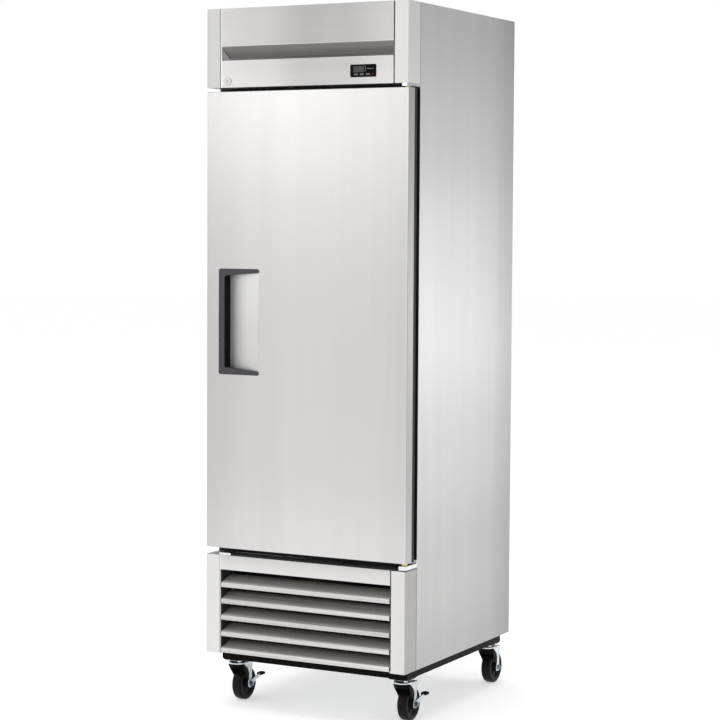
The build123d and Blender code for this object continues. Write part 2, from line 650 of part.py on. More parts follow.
def finned_coil(x, y, z, fins, rows, tube_r=4.75):
    """Row of thin fins on horizontal tubes, between two end plates."""
    pitch = (x[1] - x[0]) / (fins + 1)
    for i in range(fins + 2):
        fin_x = x[0] + i * pitch
        block((fin_x - 0.4, fin_x + 0.4), y, z)
    columns = 2
    for i in range(rows):
        for j in range(columns):
            tube_y = y[0] + (y[1] - y[0]) * (j + 0.5) / columns
            tube_z = z[0] + (z[1] - z[0]) * (i + 0.5) / rows
            rod((x[0] - 10, tube_y, tube_z), (x[1] + 10, tube_y, tube_z), tube_r)


EVAP_Y = (CABINET_FRONT + 260, INNER_BACK - 8)
EVAP_Z = (CEILING - 206, CEILING - 1)
with BuildPart() as evaporator_coil:
    finned_coil((-190, 190), (EVAP_Y[0] + 190, EVAP_Y[1] - 20), (EVAP_Z[0] + 40, EVAP_Z[1] - 20), 22, 4)
save(evaporator_coil, "evaporator_coil")

with BuildPart() as evaporator_housing:
    block((-260, 260), (EVAP_Y[0], EVAP_Y[0] + 1.2), EVAP_Z)
    block((-260, 260), (EVAP_Y[0], EVAP_Y[1]), (EVAP_Z[0], EVAP_Z[0] + 1.2))
    for sign in (-1, 1):
        cheek = sorted((sign * 260, sign * 258.8))
        block(cheek, (EVAP_Y[0], EVAP_Y[1]), EVAP_Z)
    with BuildSketch(facing(EVAP_Y[0] + 3)):
        with Locations(EVAP_FAN):
            Circle(92)
    extrude(amount=6, mode=Mode.SUBTRACT)
    with BuildSketch(Plane.XY.offset(EVAP_Z[0] - 1)):
        with Locations((0, EVAP_Y[1] - 70)):
            with GridLocations(0, 14, 1, 6):
                SlotOverall(380, 6)
    extrude(amount=4, mode=Mode.SUBTRACT)
save(evaporator_housing, "evaporator_housing")


def fan_motor(y_face, axis, radius, length, arm_reach, shaft_to):
    """Round motor with its shaft towards -Y and two flat arms that carry it."""
    x, z = axis
    rod((x, y_face, z), (x, y_face + length, z), radius)
    rod((x, y_face + 1, z), (x, shaft_to, z), 3)
    for angle in (45, 135, 225, 315):
        reach = Vector(cos(radians(angle)), 0, sin(radians(angle))) * arm_reach
        foot = (x + reach.X, y_face + length - 5, z + reach.Z)
        rod((x, y_face + length - 5, z), foot, 3)


def fan_blade(y, axis, hub_r, tip_r, blades):
    """Hub on a shaft with pitched flat blades; y is the middle of the blade."""
    x, z = axis
    rod((x, y - 12, z), (x, y + 12, z), hub_r)
    for i in range(blades):
        with BuildPart(mode=Mode.PRIVATE) as vane:
            with BuildSketch():
                with Locations(((hub_r + tip_r) / 2 - 2, 0)):
                    RectangleRounded(tip_r - hub_r + 4, tip_r * 0.75, tip_r * 0.22)
            extrude(amount=0.9, both=True)
        turned = Rot(0, 360 * i / blades, 0) * (Rot(-62, 0, 0) * vane.part)
        add(Pos(x, y, z) * turned)
    rod((x, y - 20, z), (x, y + 20, z), 3.06, Mode.SUBTRACT)


EVAP_BLADE_Y, COND_BLADE_Y = EVAP_Y[0] + 28, CABINET_FRONT + 148
with BuildPart() as evaporator_fan_motor:
    fan_motor(EVAP_BLADE_Y + 30, EVAP_FAN, 32, 55, 60, EVAP_BLADE_Y - 10)
    block((-45, 45), (EVAP_BLADE_Y + 76, EVAP_BLADE_Y + 84), (EVAP_Z[0] + 1.2, EVAP_FAN[1] - 30))
save(evaporator_fan_motor, "evaporator_fan_motor")

with BuildPart() as evaporator_fan_blade:
    fan_blade(EVAP_BLADE_Y, EVAP_FAN, 16, 84, 5)
save(evaporator_fan_blade, "evaporator_fan_blade")

# ---- condensing unit -------------------------------------------------------------------
COIL_X, COIL_Z = (-255, 115), (PAN_TOP + 8, PAN_TOP + 268)
COIL_Y = (CABINET_FRONT + 22, CABINET_FRONT + 82)
with BuildPart() as condenser_coil:
    finned_coil(COIL_X, COIL_Y, COIL_Z, 22, 6)
save(condenser_coil, "condenser_coil")

SHROUD_Y = (COIL_Y[1] + 2, COIL_Y[1] + 52)
with BuildPart() as condenser_shroud:
    block((COIL_X[0] - 14, COIL_X[1] + 14), SHROUD_Y, (PAN_TOP, COIL_Z[1] + 6))
    offset(amount=-1.2, openings=condenser_shroud.faces().sort_by(Axis.Y)[0])
    with BuildSketch(facing(SHROUD_Y[1] + 2)):
        with Locations(COND_FAN):
            Circle(119)
    extrude(amount=6, mode=Mode.SUBTRACT)
save(condenser_shroud, "condenser_shroud")

with BuildPart() as condenser_fan_motor:
    fan_motor(COND_BLADE_Y + 26, COND_FAN, 40, 62, 80, COND_BLADE_Y - 10)
    foot_y = COND_BLADE_Y + 26 + 57
    block((COND_FAN[0] - 60, COND_FAN[0] + 60), (foot_y - 4, foot_y + 4), (PAN_TOP, COND_FAN[1] - 38))
save(condenser_fan_motor, "condenser_fan_motor")

with BuildPart() as condenser_fan_blade:
    fan_blade(COND_BLADE_Y, COND_FAN, 20, 112, 5)
save(condenser_fan_blade, "condenser_fan_blade")

COMP_X, COMP_Y, COMP_R = 205.0, 90.0, 84.0
COMP_TOP = PAN_TOP + 20 + 185
with BuildPart() as compressor:
    with BuildSketch(Plane.XY.offset(PAN_TOP + 20)):
        with Locations((COMP_X, COMP_Y)):
            Circle(COMP_R)
    extrude(amount=185)
    fillet(compressor.edges().filter_by(GeomType.CIRCLE), 40)
    rod((COMP_X, COMP_Y, PAN_TOP + 108), (COMP_X, COMP_Y, PAN_TOP + 112), COMP_R + 3)
    block((COMP_X - 105, COMP_X + 105), (COMP_Y - 55, COMP_Y + 55), (PAN_TOP + 14, PAN_TOP + 22))
    for x in (COMP_X - 92, COMP_X + 92):
        for y in (COMP_Y - 42, COMP_Y + 42):
            rod((x, y, PAN_TOP), (x, y, PAN_TOP + 14), 11)
            rod((x, y, PAN_TOP + 14), (x, y, PAN_TOP + 30), 4)
    block((COMP_X - 30, COMP_X + 30), (COMP_Y - COMP_R - 22, COMP_Y - COMP_R + 15), (PAN_TOP + 70, PAN_TOP + 140))
save(compressor, "compressor")

with BuildPart() as drain_pan:
    block((-300, -30), (60, 300), (PAN_TOP, PAN_TOP + 45))
    fillet(drain_pan.edges().filter_by(Axis.Z), 15)
    offset(amount=-1.6, openings=drain_pan.faces().sort_by(Axis.Z)[-1])
save(drain_pan, "drain_pan")

with BuildPart() as refrigerant_lines:
    routes = [
        # discharge line: compressor to the top of the condenser coil
        [
            (COMP_X - 40, COMP_Y - 40, COMP_TOP - 30),
            (COMP_X - 40, COMP_Y - 40, COMP_TOP + 35),
            (COMP_X - 40, COIL_Y[1] - 15, COMP_TOP + 35),
            (COIL_X[1] + 11, COIL_Y[1] - 15, COMP_TOP + 35),
        ],
        # suction line: down from the insulated floor into the compressor
        [
            (COMP_X + 35, 290, GRILLE_TOP + 1),
            (COMP_X + 35, 290, COMP_TOP + 50),
            (COMP_X + 35, COMP_Y + 30, COMP_TOP + 50),
            (COMP_X + 35, COMP_Y + 30, COMP_TOP - 30),
        ],
        # liquid line: coil bottom through the filter drier and up to the evaporator
        [
            (COIL_X[1] + 11, COIL_Y[0] + 15, COIL_Z[0] + 21),
            (COIL_X[1] + 60, COIL_Y[0] + 15, COIL_Z[0] + 21),
            (COIL_X[1] + 60, COMP_Y - 140, COIL_Z[0] + 21),
            (COIL_X[1] + 60, COMP_Y - 140, GRILLE_TOP + 1),
        ],
    ]
    for route in routes:
        with BuildLine() as path:
            FilletPolyline(*route, radius=12)
        with BuildSketch(Plane(origin=path.line @ 0, z_dir=path.line % 0)):
            Circle(4)
        sweep(path=path.line)
    drier = (COIL_X[1] + 60, COMP_Y - 140)
    rod((*drier, COIL_Z[0] + 60), (*drier, COIL_Z[0] + 160), 13)
    add(compressor.part, mode=Mode.SUBTRACT)
save(refrigerant_lines, "refrigerant_lines")

# ---- casters ---------------------------------------------------------------------------
KINGPIN_R = 6.0
PLATE_BOTTOM = RAIL_BOTTOM - 3
RACE_BOTTOM = PLATE_BOTTOM - 7
CROWN_TOP = RACE_BOTTOM - 1
LEG_X = (19.5, 22.5)
PLATE_HALF = (31.0, 36.0)
BOLT_SPACING = (46.0, 56.0)
NUT_X = {True: (26.6, 32.0), False: (22.8, 28.2)}  # outboard of the brake lever, or of the leg

with BuildPart() as caster_plates:
    for _, x, y, _ in CASTERS:
        half_x, half_y = PLATE_HALF
        block((x - half_x, x + half_x), (y - half_y, y + half_y), (PLATE_BOTTOM, RAIL_BOTTOM))
        rod((x, y, RACE_BOTTOM), (x, y, PLATE_BOTTOM + 1), 27)
        rod((x, y, CROWN_TOP - 12), (x, y, RACE_BOTTOM + 1), KINGPIN_R)
        rod((x, y, CROWN_TOP - 14.5), (x, y, CROWN_TOP - 12), 9)
save(caster_plates, "caster_plates")

for label, x, y, braked in CASTERS:
    axle_y = y + WHEEL_TRAIL

    with BuildPart() as fork:
        rod((x, y, CROWN_TOP - 5), (x, y, CROWN_TOP), 29)
        fillet(fork.edges().group_by(Axis.Z)[-1], 2)
        block((x - 22.5, x + 22.5), (y - 26, y + 30), (CROWN_TOP - 8, CROWN_TOP - 4))
        for sign in (-1, 1):
            leg = sorted((x + sign * LEG_X[0], x + sign * LEG_X[1]))
            with BuildSketch(Plane.YZ.offset(leg[0])):
                Polygon(
                    (y - 26, CROWN_TOP - 4),
                    (y + 30, CROWN_TOP - 4),
                    (axle_y + 13, WHEEL_R + 6),
                    (axle_y - 13, WHEEL_R + 2),
                    align=None,
                )
                with Locations((axle_y, WHEEL_R)):
                    Circle(13)
            extrude(amount=leg[1] - leg[0])
        rod((x, y, CROWN_TOP - 20), (x, y, CROWN_TOP + 1), KINGPIN_R + 0.05, Mode.SUBTRACT)
        nut_x = NUT_X[braked]
        rod((x - 27.5, axle_y, WHEEL_R), (x - LEG_X[1] + 0.5, axle_y, WHEEL_R), 8)
        rod((x - 25, axle_y, WHEEL_R), (x + nut_x[1] + 1.5, axle_y, WHEEL_R), AXLE_R)
        with BuildSketch(Plane.YZ.offset(x + nut_x[0])):
            with Locations((axle_y, WHEEL_R)):
                RegularPolygon(8, 6)
        extrude(amount=nut_x[1] - nut_x[0])
    save(fork, f"caster_fork_{label}")

    with BuildPart() as wheel:
        # half section of the wheel: tread with round shoulders, dished web and hub
        with BuildSketch(Plane(origin=(x, axle_y, WHEEL_R), x_dir=(1, 0, 0), z_dir=(0, 0, 1))) as section:
            with BuildLine():
                Polyline(
                    (-18, WHEEL_BORE_R),
                    (-18, 12),
                    (-9, 14),
                    (-9, 31),
                    (-16, 36),
                    (-16, WHEEL_R),
                    (16, WHEEL_R),
                    (16, 36),
                    (9, 31),
                    (9, 14),
                    (18, 12),
                    (18, WHEEL_BORE_R),
                    close=True,
                )
            make_face()
            fillet(section.vertices().group_by(Axis.Y)[-1], 9)
        revolve(axis=Axis((x, axle_y, WHEEL_R), (1, 0, 0)))
    save(wheel, f"caster_wheel_{label}")

    if braked:
        with BuildPart() as lever:
            with BuildSketch(Plane.YZ.offset(x + 23.2)):
                with Locations((axle_y, WHEEL_R)):
                    Circle(11)
                Polygon(
                    (axle_y - 4, WHEEL_R + 10),
                    (axle_y + 60, WHEEL_R + 24),
                    (axle_y + 60, WHEEL_R + 16),
                    (axle_y + 4, WHEEL_R - 8),
                    align=None,
                )
            extrude(amount=3)
            block((x + 12, x + 30), (axle_y + 56, axle_y + 80), (WHEEL_R + 15, WHEEL_R + 24))
            rod((x + 20, axle_y, WHEEL_R), (x + 28, axle_y, WHEEL_R), WHEEL_BORE_R, Mode.SUBTRACT)
        save(lever, f"brake_lever_{label.split('_')[1]}")

# ---- fasteners -------------------------------------------------------------------------
with BuildPart() as fasteners:
    rear_heads = [
        (x, z) for x in (-328, 0, 328) for z in (186, 460, 490, 900, 1320, 1740, 2120)
    ]
    with BuildSketch(facing(BACK + 2)):
        with Locations(*rear_heads):
            Circle(4.5)
    extrude(amount=1.98)
    chamfer(fasteners.edges().group_by(Axis.Y)[-1], 0.6)
    with BuildSketch(facing(RAIL_Y[0] - 0.02)):
        with Locations((267, SIDE_BOTTOM - 11)):
            Circle(4)
    extrude(amount=2)
    # caster bolts, four to a plate
    for _, x, y, _ in CASTERS:
        with BuildSketch(Plane.XY.offset(PLATE_BOTTOM - 4.5)):
            with Locations((x, y)):
                with GridLocations(*BOLT_SPACING, 2, 2):
                    RegularPolygon(6.5, 6)
        extrude(amount=4.5)
save(fasteners, "fasteners")
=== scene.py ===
import math

import bmesh
import bpy
from mathutils import Matrix, Vector


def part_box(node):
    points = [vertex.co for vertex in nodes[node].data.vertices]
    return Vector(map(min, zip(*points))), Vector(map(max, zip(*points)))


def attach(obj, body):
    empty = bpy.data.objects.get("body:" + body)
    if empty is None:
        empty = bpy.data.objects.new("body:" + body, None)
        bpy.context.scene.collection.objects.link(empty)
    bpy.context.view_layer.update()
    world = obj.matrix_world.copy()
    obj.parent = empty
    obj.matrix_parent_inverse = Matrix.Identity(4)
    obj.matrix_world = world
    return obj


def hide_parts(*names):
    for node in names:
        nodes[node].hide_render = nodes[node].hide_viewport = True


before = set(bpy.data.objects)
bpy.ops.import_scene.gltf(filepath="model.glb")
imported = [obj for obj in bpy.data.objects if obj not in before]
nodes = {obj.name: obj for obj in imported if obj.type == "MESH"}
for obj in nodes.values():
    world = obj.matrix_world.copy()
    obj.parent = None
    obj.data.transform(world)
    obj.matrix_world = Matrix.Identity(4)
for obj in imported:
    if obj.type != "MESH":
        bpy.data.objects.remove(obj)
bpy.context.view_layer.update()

scene = bpy.context.scene
MM = 0.001

# ---- camera and stage ------------------------------------------------------------------
CAMERA_AT = Vector((3.084, -5.848, 1.502))  # metres
CAMERA_YAW, CAMERA_PITCH, CAMERA_ROLL = 27.97, -3.015, 0.346  # degrees
SENSOR, LENS, SHIFT_Y = 36.0, 105.2, -0.042
FLOOR_R, DOME_R, FLOOR_GLOW = 34.0, 35.0, 0.46
BRIGHT_SIDE = (-0.45, -0.75, 0.48)
WORLD_DIM, WORLD_BRIGHT = 0.46, 0.74


def add_camera():
    """Long-lens product view from the front right, a little above the middle of the door."""
    yaw, pitch, roll = (math.radians(a) for a in (CAMERA_YAW, CAMERA_PITCH, CAMERA_ROLL))
    ahead = Vector((-math.sin(yaw) * math.cos(pitch), math.cos(yaw) * math.cos(pitch), math.sin(pitch)))
    level = Vector((math.cos(yaw), math.sin(yaw), 0))
    upright = level.cross(ahead)
    right = level * math.cos(roll) + upright * math.sin(roll)
    up = upright * math.cos(roll) - level * math.sin(roll)
    data = bpy.data.cameras.new("camera")
    data.sensor_width, data.lens, data.shift_y = SENSOR, LENS, SHIFT_Y
    camera = bpy.data.objects.new("camera", data)
    turn = Matrix((right, up, -ahead)).transposed().to_4x4()
    camera.matrix_world = Matrix.Translation(CAMERA_AT) @ turn
    scene.collection.objects.link(camera)
    scene.camera = camera


def add_softbox(name, at, aim, size, power):
    """Rectangular area light that faces the point aim and isn't seen itself."""
    data = bpy.data.lights.new(name, "AREA")
    data.shape, data.size, data.size_y, data.energy = "RECTANGLE", size[0], size[1], power
    light = bpy.data.objects.new(name, data)
    light.location = at
    light.rotation_mode = "QUATERNION"
    light.rotation_quaternion = (Vector(aim) - Vector(at)).to_track_quat("-Z", "Y")
    light.visible_camera = False
    scene.collection.objects.link(light)


def add_stage():
    """Pale round floor, and a plain white dome around it that only the camera sees."""
    shell = bmesh.new()
    bmesh.ops.create_circle(shell, cap_ends=True, segments=96, radius=FLOOR_R)
    floor = to_object("floor", shell)
    paint = material("floor_paint", (0.93, 0.93, 0.925), rough=0.75,
                     Emission_Color=(1, 1, 1, 1), Emission_Strength=FLOOR_GLOW)
    floor.data.materials.append(paint)
    shell = bmesh.new()
    bmesh.ops.create_uvsphere(shell, u_segments=48, v_segments=24, radius=DOME_R)
    dome = to_object("backdrop", shell)
    glow = bpy.data.materials.new("backdrop_white")
    glow.use_nodes = True
    tree = glow.node_tree
    tree.nodes.clear()
    white = tree.nodes.new("ShaderNodeEmission")
    white.inputs["Color"].default_value = (1, 1, 1, 1)
    out = tree.nodes.new("ShaderNodeOutputMaterial")
    tree.links.new(white.outputs[0], out.inputs["Surface"])
    dome.data.materials.append(glow)
    for ray in ("visible_diffuse", "visible_glossy", "visible_transmission", "visible_shadow"):
        setattr(dome, ray, False)


def add_world():
    """Soft surroundings: bright towards the front left and overhead, dimmer behind."""
    world = bpy.data.worlds.new("studio")
    scene.world = world
    world.use_nodes = True
    tree = world.node_tree
    back = tree.nodes["Background"]
    coords = tree.nodes.new("ShaderNodeTexCoord")
    towards = tree.nodes.new("ShaderNodeVectorMath")
    towards.operation = "DOT_PRODUCT"
    towards.inputs[1].default_value = BRIGHT_SIDE
    ramp = tree.nodes.new("ShaderNodeValToRGB")
    tree.links.new(coords.outputs["Generated"], towards.inputs[0])
    tree.links.new(towards.outputs["Value"], ramp.inputs[0])
    tree.links.new(ramp.outputs[0], back.inputs["Color"])
    low, high = ramp.color_ramp.elements
    low.position, low.color = 0.0, (*(WORLD_DIM,) * 3, 1)
    high.position, high.color = 0.9, (*(WORLD_BRIGHT,) * 3, 1)


# ---- materials -------------------------------------------------------------------------
NOISE_LOW, NOISE_HIGH = 0.3, 0.7  # nearly all of a noise texture's values lie between these
DARK_TONE, DARK_SHEEN = 0.1, 0.22  # dark plastics and rubber get a weaker reflection
X, Y, Z = 0, 1, 2


def material(name, color, metal=0.0, rough=0.5, **sockets):
    """Principled material whose uniform values sit on the shader's own sockets."""
    made = bpy.data.materials.new(name)
    made.use_nodes = True
    shader = made.node_tree.nodes["Principled BSDF"]
    shader.inputs["Base Color"].default_value = (*color, 1)
    shader.inputs["Metallic"].default_value = metal
    shader.inputs["Roughness"].default_value = rough
    for socket, value in sockets.items():
        shader.inputs[socket.replace("_", " ")].default_value = value
    return made


def pattern(made, scale, detail=3.0):
    """Noise over the object's coordinates, stretched by scale; returns its value output."""
    tree = made.node_tree
    coords = tree.nodes.new("ShaderNodeTexCoord")
    stretch = tree.nodes.new("ShaderNodeMapping")
    stretch.inputs["Scale"].default_value = scale
    noise = tree.nodes.new("ShaderNodeTexNoise")
    noise.inputs["Scale"].default_value = 1.0
    noise.inputs["Detail"].default_value = detail
    tree.links.new(coords.outputs["Object"], stretch.inputs[0])
    tree.links.new(stretch.outputs[0], noise.inputs["Vector"])
    return noise.outputs[0]


def vary_color(made, value, dark, light):
    """Base colour runs from dark to light with value."""
    tree = made.node_tree
    ramp = tree.nodes.new("ShaderNodeValToRGB")
    first, last = ramp.color_ramp.elements
    first.position, first.color = NOISE_LOW, (*dark, 1)
    last.position, last.color = NOISE_HIGH, (*light, 1)
    tree.links.new(value, ramp.inputs[0])
    tree.links.new(ramp.outputs[0], tree.nodes["Principled BSDF"].inputs["Base Color"])


def vary_rough(made, value, low, high):
    """Roughness runs from low to high with value."""
    tree = made.node_tree
    span = tree.nodes.new("ShaderNodeMapRange")
    span.inputs["From Min"].default_value, span.inputs["From Max"].default_value = NOISE_LOW, NOISE_HIGH
    span.inputs["To Min"].default_value, span.inputs["To Max"].default_value = low, high
    tree.links.new(value, span.inputs["Value"])
    tree.links.new(span.outputs[0], tree.nodes["Principled BSDF"].inputs["Roughness"])


def bump(made, value, depth, strength=0.5):
    """Surface relief of that depth in metres."""
    tree = made.node_tree
    relief = tree.nodes.new("ShaderNodeBump")
    relief.inputs["Strength"].default_value = strength
    relief.inputs["Distance"].default_value = depth
    tree.links.new(value, relief.inputs["Height"])
    tree.links.new(relief.outputs[0], tree.nodes["Principled BSDF"].inputs["Normal"])


def paint_light_along(made, axis, stops):
    """Paint light and shade into the colour along one axis: stops are (metres, share), and the largest share
    keeps the colour.
    """
    tree = made.node_tree
    base = tree.nodes["Principled BSDF"].inputs["Base Color"]
    source = base.links[0].from_socket
    coords = tree.nodes.new("ShaderNodeTexCoord")
    split = tree.nodes.new("ShaderNodeSeparateXYZ")
    span = tree.nodes.new("ShaderNodeMapRange")
    first, last = stops[0][0], stops[-1][0]
    span.inputs["From Min"].default_value, span.inputs["From Max"].default_value = first, last
    ramp = tree.nodes.new("ShaderNodeValToRGB")
    ramp.color_ramp.interpolation = "EASE"
    marks = ramp.color_ramp.elements
    while len(marks) < len(stops):
        marks.new(0.5)
    peak = max(share for at, share in stops)
    for mark, (at, share) in zip(marks, stops):
        mark.position, mark.color = (at - first) / (last - first), (*(share / peak,) * 3, 1)
    lift = tree.nodes.new("ShaderNodeMix")
    lift.data_type, lift.blend_type = "RGBA", "MULTIPLY"
    lift.inputs["Factor"].default_value = 1.0
    tree.links.new(coords.outputs["Object"], split.inputs[0])
    tree.links.new(split.outputs[axis], span.inputs["Value"])
    tree.links.new(span.outputs[0], ramp.inputs[0])
    tree.links.new(source, lift.inputs["A"])
    tree.links.new(ramp.outputs[0], lift.inputs["B"])
    tree.links.new(lift.outputs["Result"], base)


def brushed(name, grain, dark, light, rough=(0.38, 0.44), metal=1.0, broad=22.0):
    """Satin brushed sheet: hairlines along one axis over faint wide bands."""
    fine, along_lines, along_bands = 900.0, 5.0, 0.7
    lines = [fine] * 3
    lines[grain] = along_lines
    bands = [broad] * 3
    bands[grain] = along_bands
    made = material(name, light, metal=metal, Anisotropic=0.2)
    hair = pattern(made, lines, 2.0)
    vary_color(made, pattern(made, bands, 2.0), dark, light)
    vary_rough(made, hair, *rough)
    bump(made, hair, 0.03 * MM, 0.2)
    return made


def speckled(name, dark, light, metal, rough, scale, depth=0.1 * MM, **sockets):
    """Surface with a fine grain in its relief, and wider patches in its colour and gloss."""
    if metal == 0 and max(light) < DARK_TONE:
        sockets.setdefault("Specular_IOR_Level", DARK_SHEEN)
    made = material(name, light, metal=metal, **sockets)
    grains_per_patch = 12
    grain = pattern(made, (scale,) * 3)
    cloud = pattern(made, (scale / grains_per_patch,) * 3)
    vary_color(made, cloud, dark, light)
    vary_rough(made, cloud, *rough)
    bump(made, grain, depth)
    return made


# where sheets end or bend, in metres, so that the painted light and shade can follow their edges
door_low, door_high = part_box("door_outer_pan")
side_low, side_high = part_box("side_panel_right")
header_low, header_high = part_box("header_panel")
pocket_low, pocket_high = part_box("handle_pocket")
flank = door_high.x - 0.2 * MM
bend = door_high.x - 1.5 * MM

steel_door = brushed("stainless_door", Z, (0.697, 0.688, 0.682), (0.72, 0.711, 0.705))
# painted light and shade: darker at the left edge, a painted highlight along the right bend, painted shade on
# the right side face, lighter towards the bottom and the top
paint_light_along(steel_door, X, [(door_low.x, 0.86), (-0.2, 0.95), (0.02, 1.0), (0.2, 0.97), (bend - 6.5 * MM, 0.93),
                       (bend, 1.0), (flank, 0.72)])
paint_light_along(steel_door, Z, [(door_low.z, 1.065), (0.75, 1.0), (1.2, 1.0), (1.55, 1.02), (1.7, 1.05),
                       (door_high.z, 1.06)])
steel_side = brushed("stainless_side", Z, (0.775, 0.768, 0.767), (0.805, 0.798, 0.797))
# painted light and shade: darker low down and towards the rear, lightest just below the top
paint_light_along(steel_side, Z, [(side_low.z, 0.66), (0.45, 0.76), (0.8, 0.91), (1.1, 0.96), (1.35, 0.93), (1.6, 0.97),
                       (1.85, 1.05), (header_high.z, 0.97)])
paint_light_along(steel_side, Y, [(side_low.y, 1.0), (0.0, 0.98), (0.16, 0.92), (side_high.y + 1 * MM, 0.74)])
steel_trim = brushed("stainless_trim", Z, (0.715, 0.708, 0.70), (0.74, 0.732, 0.724))
# painted shade on the trims' right side face
paint_light_along(steel_trim, X, [(door_low.x, 1.03), (0.3, 1.0), (bend, 0.99), (flank, 0.60)])
steel_band = brushed("stainless_band", X, (0.655, 0.647, 0.64), (0.68, 0.672, 0.664))
steel_head_trim = brushed("stainless_head_trim", Z, (0.90, 0.893, 0.887), (0.94, 0.932, 0.925))
# painted light: darker towards the left, with a painted highlight on the right side face
paint_light_along(steel_head_trim, X, [(door_low.x, 0.72), (-0.295, 0.73), (0.295, 0.92), (bend, 0.96), (flank, 1.42)])
steel_header = brushed("stainless_header", X, (0.59, 0.58, 0.574), (0.62, 0.61, 0.603))
# painted light and shade: darker across the middle, lighter at the ends and below the recess
paint_light_along(steel_header, X, [(header_low.x, 0.98), (-0.15, 0.93), (0.0, 0.77), (0.12, 0.82),
                         (header_high.x, 1.05)])
paint_light_along(steel_header, Z, [(header_low.z, 1.18), (1.975, 1.12), (2.02, 1.0), (header_high.z, 1.0)])
# a darker copy of the steel as painted shade in the finger recess, darkest low in it, with a painted
# highlight along its top edge
shaded_recess_steel = brushed("stainless_recess_painted_shade", X, (0.215, 0.198, 0.188), (0.33, 0.31, 0.298), (0.42, 0.55), 0.8)
paint_light_along(shaded_recess_steel, Z, [(1.975, 0.75), (1.995, 0.68), (2.013, 0.95), (2.02, 1.35)])
# a dark copy of the steel as painted shade on the recess's left end
shaded_gusset_steel = brushed("stainless_gusset_painted_shade", X, (0.26, 0.255, 0.27), (0.32, 0.315, 0.33), (0.42, 0.5), 0.85)
# a brighter copy of the steel as a painted highlight on hems and seam flanges
highlight_hem_steel = brushed("stainless_hem_painted_highlight", X, (0.86, 0.853, 0.847), (0.90, 0.892, 0.886), (0.34, 0.4))
# a brighter copy of the steel as painted light in the finger pull, lighter at the left and towards the top
steel_pocket = brushed("stainless_pocket", Z, (0.95, 0.94, 0.934), (0.98, 0.97, 0.964), (0.45, 0.52), 0.7)
paint_light_along(steel_pocket, X, [(pocket_low.x, 1.1), (-0.262, 1.08), (-0.225, 1.0), (pocket_high.x, 0.94)])
paint_light_along(steel_pocket, Z, [(pocket_low.z, 0.80), (1.15, 0.86), (1.25, 0.95), (pocket_high.z, 1.0)])
steel_grille = brushed("stainless_grille", X, (0.66, 0.65, 0.64), (0.72, 0.71, 0.70), (0.45, 0.52), 0.75)
steel_louvre = brushed("stainless_louvre", X, (0.50, 0.485, 0.474), (0.84, 0.82, 0.808), (0.42, 0.55), 0.45,
                       broad=150.0)
# a painted highlight on the blades' lips and painted shade towards the blades' backs
paint_light_along(steel_louvre, Y, [(-0.388, 1.2), (-0.381, 1.12), (-0.375, 0.98), (-0.355, 0.94), (-0.342, 0.62),
                         (-0.335, 0.26)])
galvanised = speckled("galvanised_sheet", (0.50, 0.515, 0.53), (0.58, 0.59, 0.60), 0.9, (0.42, 0.5), 240.0)
liner = speckled("liner_aluminium", (0.74, 0.75, 0.76), (0.80, 0.81, 0.82), 0.85, (0.34, 0.46), 260.0)
fins = speckled("fin_aluminium", (0.60, 0.61, 0.62), (0.72, 0.73, 0.74), 0.9, (0.35, 0.5), 200.0)
# near-black aluminium as painted shade on the coil behind the louvres
shaded_fins = speckled("coil_aluminium_painted_shade", (0.045, 0.045, 0.047), (0.10, 0.10, 0.104), 0.6, (0.45, 0.6), 200.0)
# near-black steel as painted shade on the grille's side hangers
shade_painted_steel = speckled("shaded_steel", (0.030, 0.029, 0.028), (0.05, 0.049, 0.047), 0.3, (0.5, 0.6), 200.0)

POLISHED = 0.05 * MM  # grain depth on plated and drawn metal
zinc = speckled("bright_zinc", (0.44, 0.49, 0.53), (0.74, 0.78, 0.81), 1.0, (0.12, 0.24), 700.0, POLISHED)
hinge_zinc = speckled("hinge_zinc", (0.70, 0.71, 0.73), (0.82, 0.83, 0.85), 1.0, (0.2, 0.3), 300.0, POLISHED)
nut_zinc = speckled("nut_zinc", (0.16, 0.20, 0.22), (0.40, 0.44, 0.47), 1.0, (0.2, 0.32), 300.0, POLISHED)
# darker zinc as painted shade on the upper races, kingpins and their nuts
shaded_race_zinc = speckled("shaded_race_zinc", (0.13, 0.14, 0.15), (0.24, 0.25, 0.27), 0.9, (0.25, 0.4), 120.0, POLISHED)
lock_zinc = speckled("lock_zinc", (0.40, 0.395, 0.39), (0.50, 0.495, 0.49), 1.0, (0.3, 0.4), 300.0, POLISHED)
brass = speckled("turned_brass", (0.66, 0.49, 0.20), (0.80, 0.62, 0.28), 1.0, (0.2, 0.3), 300.0, POLISHED)
copper = speckled("copper_tube", (0.55, 0.27, 0.17), (0.76, 0.42, 0.28), 1.0, (0.22, 0.38), 90.0, POLISHED)

black_paint = speckled("black_powder_coat", (0.002, 0.0017, 0.0014), (0.005, 0.0042, 0.0034), 0.0,
                       (0.40, 0.52), 700.0, Specular_IOR_Level=0.06)
motor_paint = speckled("motor_paint", (0.05, 0.052, 0.055), (0.09, 0.092, 0.095), 0.2, (0.42, 0.55), 400.0)
black_plastic = speckled("black_moulding", (0.002, 0.002, 0.0022), (0.004, 0.004, 0.0045), 0.0, (0.42, 0.55),
                         1500.0, Specular_IOR_Level=0.05)
bezel_plastic = speckled("handle_moulding", (0.056, 0.052, 0.06), (0.076, 0.071, 0.08), 0.0, (0.42, 0.52),
                         1500.0)
dark_extrusion = speckled("dark_extrusion", (0.01, 0.009, 0.01), (0.02, 0.018, 0.02), 0.0, (0.45, 0.6), 700.0)
pan_plastic = speckled("drain_pan_plastic", (0.05, 0.05, 0.052), (0.08, 0.08, 0.083), 0.0, (0.4, 0.55), 500.0)
key_plastic = speckled("key_plastic", (0.10, 0.10, 0.104), (0.15, 0.15, 0.155), 0.0, (0.4, 0.5), 1500.0)
